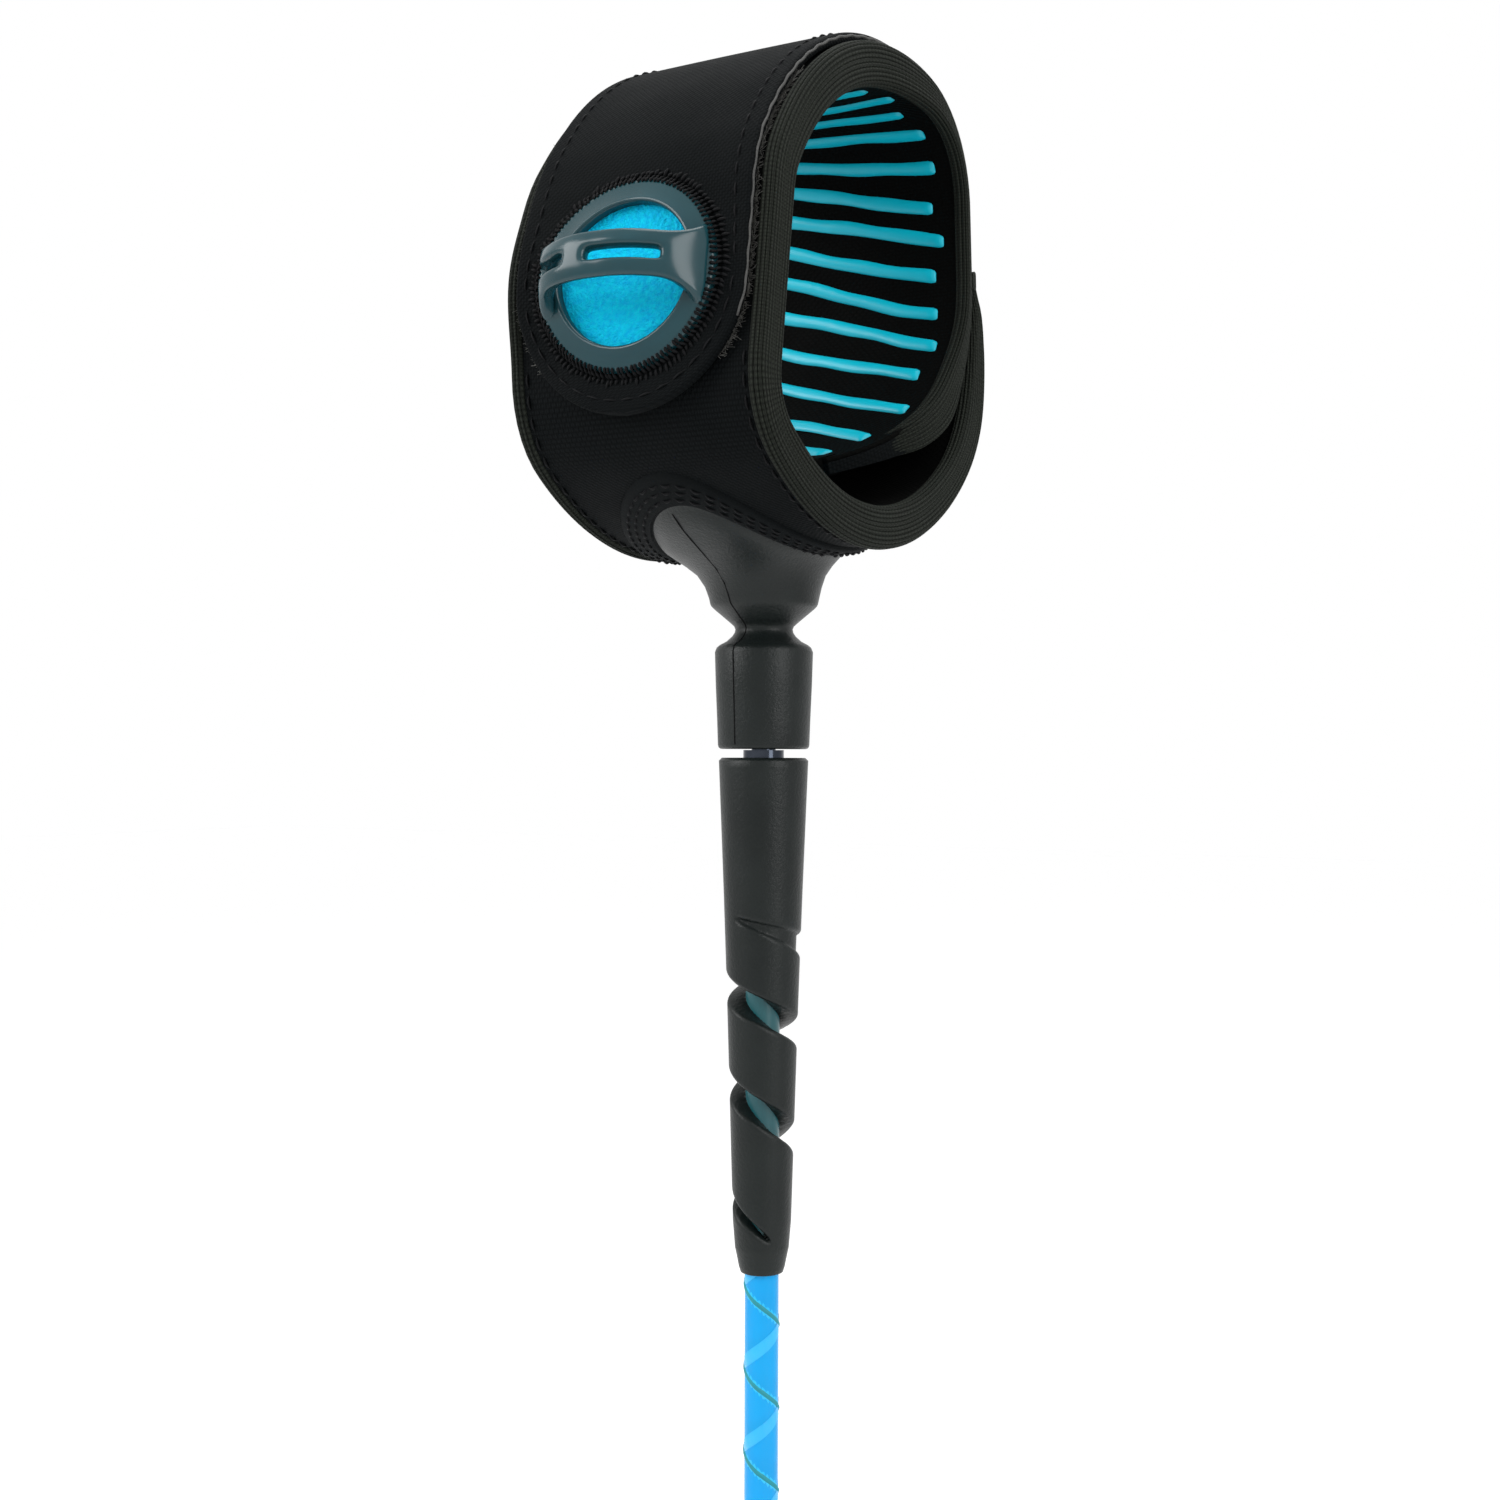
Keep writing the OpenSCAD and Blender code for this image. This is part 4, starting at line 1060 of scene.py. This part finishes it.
def spun(name, profile, finish):
    """A profile of (radius, height) points in millimetres, spun round the tab's centre."""
    mesh = bpy.data.meshes.new(name)
    mesh.from_pydata([(r * MM, 0, z * MM) for r, z in profile],
                     [(i, i + 1) for i in range(len(profile) - 1)], [])
    made = bpy.data.objects.new(name, mesh)
    bpy.context.collection.objects.link(made)
    opened(made)
    bpy.ops.mesh.spin(steps=64, angle=2 * pi, center=(0, 0, 0), axis=(0, 0, 1))
    bpy.ops.mesh.select_all(action="SELECT")
    bpy.ops.mesh.remove_doubles(threshold=0.00001)
    bpy.ops.object.mode_set(mode="OBJECT")
    mesh.materials.append(finish)
    mesh.polygons.foreach_set("use_smooth", [True] * len(mesh.polygons))
    for v in mesh.vertices:
        v.co = on_tab(v.co.x / MM, v.co.y / MM, v.co.z / MM)
    return made


disc = spun("tab_blue_disc", [(0, 0.75), (8, 0.74), (15, 0.7), (15.2, 0.6), (15.2, 0)], DISC)
finished(disc, "tab")
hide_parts("tab_disc")
low, top = DISC_T - 0.55, DISC_T + RING_T
ring = spun("finger_ring", [
    (RING_LIP, low), (RING_LIP - 0.1, top - 0.5), (RING_LIP + 0.05, top), (RING_LIP + 0.35, top + 0.22),
    (RING_LIP + 0.75, top + 0.2), (RING_LIP + 1.0, top), (RING_R - 0.9, top - 0.55),
    (RING_R - 0.3, top - 0.8), (RING_R, top - 1.3), (RING_R, low), (RING_LIP, low)], RING)

foot = RING_R - 1.9
hoop = (foot ** 2 + ARCH_H ** 2) / (2 * ARCH_H)
reach = asin(foot / hoop)


def arch_half_width(u):
    """The arch flares where it meets the ring."""
    end = max(0.0, abs(u) - 0.55) / 0.45
    return ARCH_W / 2 * (1 + 1.1 * end * end)


bpy.ops.object.select_all(action="DESELECT")
bpy.ops.mesh.primitive_grid_add(x_subdivisions=COLUMNS, y_subdivisions=ROWS, size=2)
arch = bpy.context.object
arch.name = "finger_arch"
bpy.ops.object.mode_set(mode="EDIT")
bpy.ops.mesh.select_all(action="DESELECT")
bpy.ops.object.mode_set(mode="OBJECT")
doomed = 0
for face in arch.data.polygons:
    u, v = face.center.x, face.center.y
    if abs(v) < 0.2 and -0.92 < u < 0.58 and not -0.34 < u < -0.12:
        face.select = True
        doomed += 1
bpy.ops.object.mode_set(mode="EDIT")
bpy.ops.mesh.delete(type="FACE")
bpy.ops.object.mode_set(mode="OBJECT")
for v in arch.data.vertices:
    u, w = v.co.x, v.co.y
    half, foot_part = arch_half_width(u), max(0.0, abs(u) - 0.7) / 0.3
    x, out = hoop * sin(u * reach), top + ARCH_H - hoop + (hoop - ARCH_T / 2) * cos(u * reach)
    x = copysign(min(abs(x), sqrt((RING_R - 1.3) ** 2 - (w * half) ** 2)), x)
    crown = 0.9 * abs(w) ** 2.5 * (1 - 0.7 * foot_part)
    v.co = on_tab(x, w * half, out - 0.2 - crown - 1.1 * foot_part)
thickened = arch.modifiers.new("thickness", "SOLIDIFY")
thickened.thickness = ARCH_T * MM * 1.3
thickened.offset = 0
arch.modifiers.new("round", "SUBSURF").levels = 2
alone(arch)
bpy.ops.object.modifier_apply(modifier="thickness")
bpy.ops.object.modifier_apply(modifier="round")
arch.data.materials.append(RING)
bpy.ops.object.shade_smooth()
join(ring, arch)
finished(ring, "tab", smooth=50)
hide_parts("pull_ring")
print("arch: slots of", doomed, "faces left open; ring has", len(ring.data.polygons), "faces")


# %% Zigzag and hook patch
ZIGZAG, ZIGZAG_TOP = 118, 20.3


def round_tab(r, a, out):
    """A place on the tab by its distance and angle from the ring's middle."""
    return on_tab(r * cos(a), r * sin(a), out)


zigzag = []
for i in range(ZIGZAG):
    a, b = (2 * pi * (i + part + rng.uniform(-0.22, 0.22)) / ZIGZAG for part in (0, 0.5))
    far = rng.uniform(20.2, 21.2)
    if sin(a) > 0:      # above the ring the tab folds, so the threads stay below the fold
        far = min(far, ZIGZAG_TOP / max(sin(a), 0.01))
    mid = min(19.4, far - 0.3)
    for start, end in ((round_tab(17.6, a, 1.9), round_tab(18.7, a, 1.35)),
                       (round_tab(18.6, a, 1.3), round_tab(mid, b, 0.2)),
                       (round_tab(mid - 0.2, b, 0.2), round_tab(far, a, 0.1))):
        zigzag.append((start, end, TAB_OUT))
worn(stitches("ring_zigzag", zigzag, thread=0.00033, rise=0.0003), "tab")
print("zigzag:", len(zigzag), "threads")

HOOK_HALF_X, HOOK_HALF_Y, HOOK_R = 21.8, 19.2, 23.6


def on_hooks(y, out, x):
    """The patch narrows towards the tab's round end."""
    share = 1 if y > -1 else sqrt(max(1 - (y / HOOK_R) ** 2, 0.05))
    return on_tab(x * share, y, out - STRAP_T)


hooks = sweep("hook_pile", evenly(-HOOK_HALF_Y, HOOK_HALF_Y, 1.6),
              lambda y: rounded(-HOOK_HALF_X, HOOK_HALF_X, -0.12, 0.8, 0.3, 2),
              on_hooks, HOOKS, "tab")
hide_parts("hook_patch")


# %% [markdown]
# ## Horn and barrel
# The horn is moulded in one with an oval pad that is sewn under the sole. It comes out through a
# collar of the skin's cloth, which laps the pad. It is drawn as rings of points, from the collar's
# rim to the barrel: ovals that turn into circles. A row of circles gives lip, neck and shoulder.
# Three rows of stitches hold the collar.

# %% Horn
PAD_X, PAD_Y, PAD_FAR, PAD_FRONT = 19.5, 33.0, 1.2, 1.2
PAD_ROWS = ((1.2, 1.0), (2.5, 1.1), (3.9, 1.25))      # inset and height of each row of stitches
LIP_Z, NECK_Z, BARREL_END = -62.0, -66.6, -91.2
COLLAR_LEVELS, HORN_SIDES, PARTING_AT = 7, 72, radians(-98)


def along_at(y, out):
    """How far along the band its outside lies at y, near the sole."""
    low, high = SOLE_S - 45, SOLE_S + 50
    for _ in range(30):
        s = (low + high) / 2
        here, _, heading, _ = along(s)
        low, high = (s, high) if here + out * sin(radians(heading)) < y else (low, s)
    return low


def horn_point(a, rx, ry, drop, z, m):
    """A point at angle a of an oval laid on the sole, or of a circle at z where m is 1."""
    x, y = rx * cos(a), ry * sin(a)
    x *= 1 + (PAD_FAR - 1) * (1 - m) * (x < 0)
    y *= 1 + (PAD_FRONT - 1) * (1 - m) * (y < 0)
    free, out = Vector((x, y, z)) * MM, BAND_T + drop
    return free if m == 1 else on_band(along_at(y, out), out, x).lerp(free, m)


levels = [(PAD_X, PAD_Y, -0.6, 0, 0), (PAD_X, PAD_Y, 0.35, 0, 0), (PAD_X - 0.4, PAD_Y - 0.4, 0.75, 0, 0),
          (PAD_X - 1.4, PAD_Y - 1.4, 1.0, 0, 0), (PAD_X - 3.8, PAD_Y - 3.8, 1.2, 0, 0),
          (PAD_X - 4.9, PAD_Y - 5.2, 1.2, 0, 0), (PAD_X - 5.2, PAD_Y - 5.6, 0.8, 0, 0),
          (PAD_X - 5.4, PAD_Y - 5.9, 0.8, 0, 0), (PAD_X - 5.8, PAD_Y - 6.6, 1.5, 0, 0),
          (PAD_X - 6.4, PAD_Y - 9.5, 2.1, -54, 0.08), (12.6, 18.2, 3.0, -55, 0.3),
          (11.9, 15.0, 3.6, -56.6, 0.6), (11.5, 13.0, 4, -58.4, 0.88), (11.2, 11.8, 4, -60.2, 1),
          (11.05, 11.2, 4, -61.4, 1)]
levels += [(r, r, 0, z, 1) for r, z in (
    (10.9, LIP_Z + 0.2), (10.6, LIP_Z - 0.15), (10.1, LIP_Z - 0.6), (6.9, NECK_Z + 1.3),
    (6.15, NECK_Z + 0.6), (5.9, NECK_Z), (6.05, NECK_Z - 0.7), (6.6, NECK_Z - 1.5),
    (7.7, NECK_Z - 2.5), (9.1, NECK_Z - 3.25), (9.75, NECK_Z - 3.8), (10.1, NECK_Z - 4.7),
    (9.9, -78), (9.6, -85), (9.42, BARREL_END + 0.9), (9.3, BARREL_END + 0.4),
    (9.0, BARREL_END + 0.1), (8.6, BARREL_END), (4.6, BARREL_END), (4.5, BARREL_END + 0.4),
    (4.5, BARREL_END + 2))]
verts = [horn_point(2 * pi * j / HORN_SIDES, *level) for level in levels for j in range(HORN_SIDES)]
moulded = new_piece("horn_moulding", verts, wall(len(levels), HORN_SIDES), MOULDING)
moulded.data.materials.append(COLLAR)
for face in moulded.data.polygons[:HORN_SIDES * COLLAR_LEVELS]:
    face.material_index = 1
seam_line = [horn_point(PARTING_AT, *level) for level in levels[COLLAR_LEVELS + 1:-6]]
join(moulded, tube("parting_line", smoothed(seam_line, 0.0008), 0.00014, 5, PARTING))
finished(moulded, "cuff", smooth=50)
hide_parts("horn")
rows = []
for inset, drop in PAD_ROWS:
    line, above = ([horn_point(pi * i / 360, PAD_X - inset, PAD_Y - inset, drop + up, 0, 0)
                    for i in range(721)] for up in (0, 1))
    rows += seam(line, [(b - a).normalized() for a, b in zip(line, above)], 0.0021, 0.0007)
worn(stitches("pad_thread", rows, thread=0.0003, rise=0.00035), "cuff")
print("horn rings:", len(levels), "pad stitches:", len(rows))


# %% [markdown]
# ## Strain relief
# A tapered sleeve stiffens the end of the cord. A spiral cut lets it bend, and the cord shows in
# the cut. The sleeve is one grid of points wrapped round the cord; near the cut they are drawn
# in below the cord's surface, with rounded lips. The board's end has the same sleeve, mouth up.

# %% Relief
RELIEF_TOP, RELIEF_L = -93.0, round(RELIEF * 1000, 3)
SHAPE = [(0, 8.6), (0.6, 9.2), (28, 8.1), (51, 7.3), (95, 6.0), (100.5, 5.55), (102.6, 5.1),
         (104.4, 4.75), (105.5, 4.4)]
CUT_TURNS, CUT_FROM, CUT_HALF, LIP_R, SLEEVE_SIDES = 3.125, -96.0, 2.6, 1.1, 96


def relief_radius(d):
    """Radius of the uncut sleeve, d millimetres below its top."""
    for (a, ra), (b, rb) in zip(SHAPE, SHAPE[1:]):
        if d <= b:
            return ra + (rb - ra) * (d - a) / (b - a)
    return SHAPE[-1][1]


def cut_depth(t):
    """How far down the sleeve the middle of the cut is after t turns."""
    return RELIEF_L * (0.3128 + 0.1393 * t + 0.018 * t * t)


def cut_open(t):
    """Half the cut's width after t turns; below zero where there is none."""
    if t < -0.02 or t > CUT_TURNS + 0.02:
        return -9.0
    ends = min(1.0, max(0.0, (t + 0.02) / 0.05), max(0.0, (CUT_TURNS + 0.02 - t) / 0.05))
    share = min(1, 0.12 + 1.9 * max(t, 0), (CUT_TURNS - t) * 1.1 + 0.2)
    return CUT_HALF * share * sqrt(ends) - 2.0 * (ends <= 0)


def relief_point(angle, d):
    """Radius of the sleeve at an angle and depth, drawn in where the cut is."""
    full = relief_radius(d)
    first_turn = ((angle - CUT_FROM) / 360) % 1
    clear, t = min((abs(d - cut_depth(t)) - cut_open(t), t)
                   for t in (first_turn + k for k in range(-1, 4)))
    if clear > LIP_R:
        return full
    if clear < 0:
        through = ramped((t - 0.36) / 0.2)       # the cut starts as a shallow groove
        return max(3.3, full - 0.9 - 5.6 * through, full - LIP_R + clear * 9)
    return full - (LIP_R - sqrt(max(LIP_R ** 2 - (LIP_R - clear) ** 2, 0)))


def relief(name, place):
    depths = (evenly(0, 0.6, 0.15)[:-1] + evenly(0.6, 30, 1.4)[:-1] + evenly(30, 101, 0.3)[:-1]
              + evenly(101, RELIEF_L, 0.35))
    rows = [[(4.6, 0.0)] * SLEEVE_SIDES]
    rows += [[(relief_point(360 * a / SLEEVE_SIDES, d), d) for a in range(SLEEVE_SIDES)] for d in depths]
    rows += [[(3.9, RELIEF_L + 0.02)] * SLEEVE_SIDES, [(3.62, RELIEF_L - 2)] * SLEEVE_SIDES]
    angles = [2 * pi * a / SLEEVE_SIDES for a in range(SLEEVE_SIDES)]
    verts = [place(r * cos(a), r * sin(a), -d) for row in rows for a, (r, d) in zip(angles, row)]
    return new_piece(name, verts, wall(len(rows), SLEEVE_SIDES), MOULDING)


near_relief = relief("relief_moulding", lambda x, y, z: Vector((x, y, RELIEF_TOP + z)) * MM)
finished(near_relief, "leash", smooth=60)
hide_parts("cord_relief", "relief_coil", "relief_mouth")
far_relief = relief("board_relief_moulding", lambda x, y, z: Vector(
    (BOARD_X * 1000 + x, BOARD_Y * 1000 - y, BOARD_LOW * 1000 - z)) * MM)
finished(far_relief, "leash", smooth=60)
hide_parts("board_relief", "board_coil", "board_mouth_ring")
print("relief:", len(near_relief.data.polygons), "faces")


# %% [markdown]
# ## Swivels, tie and rail saver
# The swivels' steel, acetal and crimps keep the shapes of the solids. Tie and rail saver are one
# weave of nylon webbing, swept along its fold lines, with a thread box where layers are sewn.

# %% Swivels and board end
def dress(finish, *names):
    for name in names:
        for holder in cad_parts[name].material_slots:
            holder.material = finish


dress(STEEL, "swivel_cup", "board_cup")
# The pins wear the darkened steel, a painted dark reflection.
dress(PAINTED_DARK_REFLECTION_STEEL, "swivel_pin", "board_pin")
dress(ACETAL, "thrust_washer", "board_washer")
dress(CRIMP, "cord_crimp", "board_crimp")
dress(MOULDING, "board_barrel")


WEB_SPACING = 1.2


def webbing(name, line, width, thickness, body, across=Vector((1, 0, 0))):
    """A length of webbing laid along a line, what places points on it, and how long it is."""
    length, place = laid_on(smoothed(line, WEB_SPACING * MM), across)
    w, t = width / 2, thickness / 2
    made = sweep(name, evenly(0.01, length - 0.01, WEB_SPACING),
                 lambda d: rounded(-w, w, -t, t, min(0.6, t * 0.8)), place, WEBBING, body)
    return made, place, length


# %% Tie round hank and board relief
TIE_Z, TIE_H, TIE_T = -332.0, 20.0, 1.6
HANK_X, HANK_FRONT, HANK_BACK = 24.5, -3.5, 32.8
BUMP, BUMP_BACK = 9.0, BOARD_Y * 1000 + 8.0


def round_loop(corners, radius):
    """A closed outline with round corners, as points."""
    out = []
    for i, here in enumerate(corners):
        before, after = corners[i - 1], corners[(i + 1) % len(corners)]
        a, b = (before - here).normalized(), (after - here).normalized()
        cut = radius / tan(a.angle(b) / 2)
        start, end = here + a * cut, here + b * cut
        for k in range(6):
            t = k / 5
            out.append(start.lerp(here, t).lerp(here.lerp(end, t), t))
    return out


def tie_ring(grow):
    """Once round the hank and the board's sleeve, grow millimetres out from them."""
    side, front, back = HANK_X + grow, HANK_FRONT - grow, BUMP_BACK + grow
    x, behind = BOARD_X * 1000, HANK_BACK + grow
    corners = ((side, front), (side, behind), (x + BUMP + grow, back),
               (x - BUMP - grow, back), (-side, behind), (-side, front))
    return round_loop([Vector((*corner, TIE_Z)) * MM for corner in corners], 4 * MM)


front_y = (HANK_FRONT - TIE_T / 2) * MM
under = [Vector((x * MM, front_y, TIE_Z * MM)) for x in (-16, -8, 0, 8, 15)]
lap = [Vector((x * MM, front_y - (TIE_T + 0.2) * MM * min(1, (x + 20) / 4), TIE_Z * MM))
       for x in (-20, -18, -16, -10, -2, 6, 14)]
tie, on_tie, tie_l = webbing("hank_tie_webbing", under + tie_ring(TIE_T / 2) + lap, TIE_H, TIE_T,
                             "leash", across=Vector((0, 0, 1)))
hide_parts("hank_tie")
box = box_seam(lambda u, v, out: on_tie(tie_l - v, out, u), TIE_T / 2 + 0.05, 7.5, 2, 9)
join(tie, stitches("hank_tie_thread", box))
print("tie:", round(tie_l, 1), "mm of webbing")


# %% Rail saver
SAVER_W, SAVER_T, LOOP_R, BACK_Y, BAR_Z = 38.0, 2.0, 3.75, 3.75, -466.6
FOLD_Y, FOLD_Z, FOLD_R = -0.45, -70.8, 4.2
SEAM_LOW, SEAM_HIGH, SEAM_HALF, SEAM_OUT = -56, -21, 15.5, 0.05


def in_saver(y, z, x=0):
    """A place in millimetres from the middle of the bar that the rail saver hangs on."""
    return Vector((BOARD_X * 1000, BOARD_Y * 1000 + y, BAR_Z + z)) * MM + Vector((x * MM, 0, 0))


def bend(y, z, radius, start, end, count=9):
    """Points of an arc round (y, z), its angles in degrees from +Y towards +Z."""
    turns = (radians(start + (end - start) * i / count) for i in range(count + 1))
    return [in_saver(y + radius * cos(a), z + radius * sin(a)) for a in turns]


down = [in_saver(BACK_Y, z) for z in (-4, -8, -16, -24, -32, -40, -48, -56, -64)]
up_front = ((1.7, -14.5), (1.7, -11.5), (0.2, -9.6), (-2.4, -7.6), (-3.6, -4.5))
saver_line = ([in_saver(y, z) for y, z in up_front] + bend(0, 0, LOOP_R, 180, 0) + down
              + bend(FOLD_Y, FOLD_Z, FOLD_R, 0, -150))
saver, _, saver_l = webbing("rail_saver_webbing", saver_line, SAVER_W, SAVER_T, "board_end")
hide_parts("rail_saver")


def saver_back(u, v, out):
    """u across, v up from the bar, out from the outer face behind."""
    return in_saver(BACK_Y + SAVER_T / 2 + out, v, u)


rows = box_seam(saver_back, SEAM_OUT, 16, -15, -10.5)
rows += box_seam(saver_back, SEAM_OUT, SEAM_HALF, SEAM_LOW, SEAM_HIGH)
for side in (1, -1):
    slant = [saver_back(-SEAM_HALF + 2 * SEAM_HALF * i / 90, -38.5 + side * (17 - 34 * i / 90), SEAM_OUT)
             for i in range(91)]
    rows += seam(slant, [Vector((0, 1, 0))] * 91, 0.0022, SKIPPED)
join(saver, stitches("rail_saver_thread", rows))

FLAP_Y = FOLD_Y - FOLD_R
flap_line = bend(FOLD_Y, FOLD_Z, FOLD_R, -150, -180, 3)
flap_line += [in_saver(FLAP_Y, z) for z in (-68, -64, -58, -50, -42, -34, -27, -20.6)]
flap, _, flap_l = webbing("saver_flap_webbing", flap_line, SAVER_W, SAVER_T, None)
rows = box_seam(lambda u, v, out: in_saver(FLAP_Y - SAVER_T / 2 - out, v, u), SEAM_OUT,
                SEAM_HALF, SEAM_LOW, SEAM_HIGH - 0.8)
join(flap, stitches("saver_flap_thread", rows))
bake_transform(flap)
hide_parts("saver_flap")


PATCH_HALF, PATCH_LOW, PATCH_HIGH = 17, -56.4, -20.4


def patch(name, y0, y1, finish, body):
    """A fastener patch between flap and back: a flat pile with a soft edge."""
    made = sweep(name, evenly(PATCH_LOW, PATCH_HIGH, 1.5),
                 lambda z: rounded(-PATCH_HALF, PATCH_HALF, y0, y1, 0.45, 3),
                 lambda z, y, x: in_saver(y, z, x), finish, body)
    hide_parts(name.replace("_pile", "_patch"))
    return made


saver_loops = patch("saver_loop_pile", 1.8, 2.75, LOOPS, "board_end")
saver_hooks = patch("saver_hook_pile", -3.65, 1.5, HOOKS, "saver_flap_body")
print("rail saver:", round(saver_l + flap_l, 1), "mm of webbing")


# %% [markdown]
# Each cloth is listed with the flat size it was cut to, and its size is printed. The tab's end is a half
# circle, and the loop panel is cut round where it lies under the tab.

# %% Flat sizes of the cloth
front_l, patch_l = STRAP_L - TOP_S, PATCH_HIGH - PATCH_LOW
tongue_area = STRAP_HALF * (2 * (front_l - STRAP_HALF) + pi * STRAP_HALF / 2)
CLOTH = [(lining, 2 * SKIN_HALF, BAND_L, "laid", None),
         (strap_back, 2 * STRAP_HALF, TOP_S, "laid", None),
         (strap_front, 2 * STRAP_HALF, front_l, "laid", tongue_area),
         (hooks, 2 * HOOK_HALF_X, 2 * HOOK_HALF_Y, "laid", None),
         (loops, 2 * LOOP_HALF, LOOP_TO - LOOP_FROM, "laid", None), (tie, TIE_H, tie_l, "folded", None),
         (saver, SAVER_W, saver_l, "folded", None), (flap, SAVER_W, flap_l, "folded", None),
         (saver_loops, 2 * PATCH_HALF, patch_l, "laid", None),
         (saver_hooks, 2 * PATCH_HALF, patch_l, "laid", None)]
for piece, wide, long, held, area in CLOTH:
    area and area * MM * MM
    print(piece.name, "flat:", round(wide, 1), "by", round(long, 1), "mm")
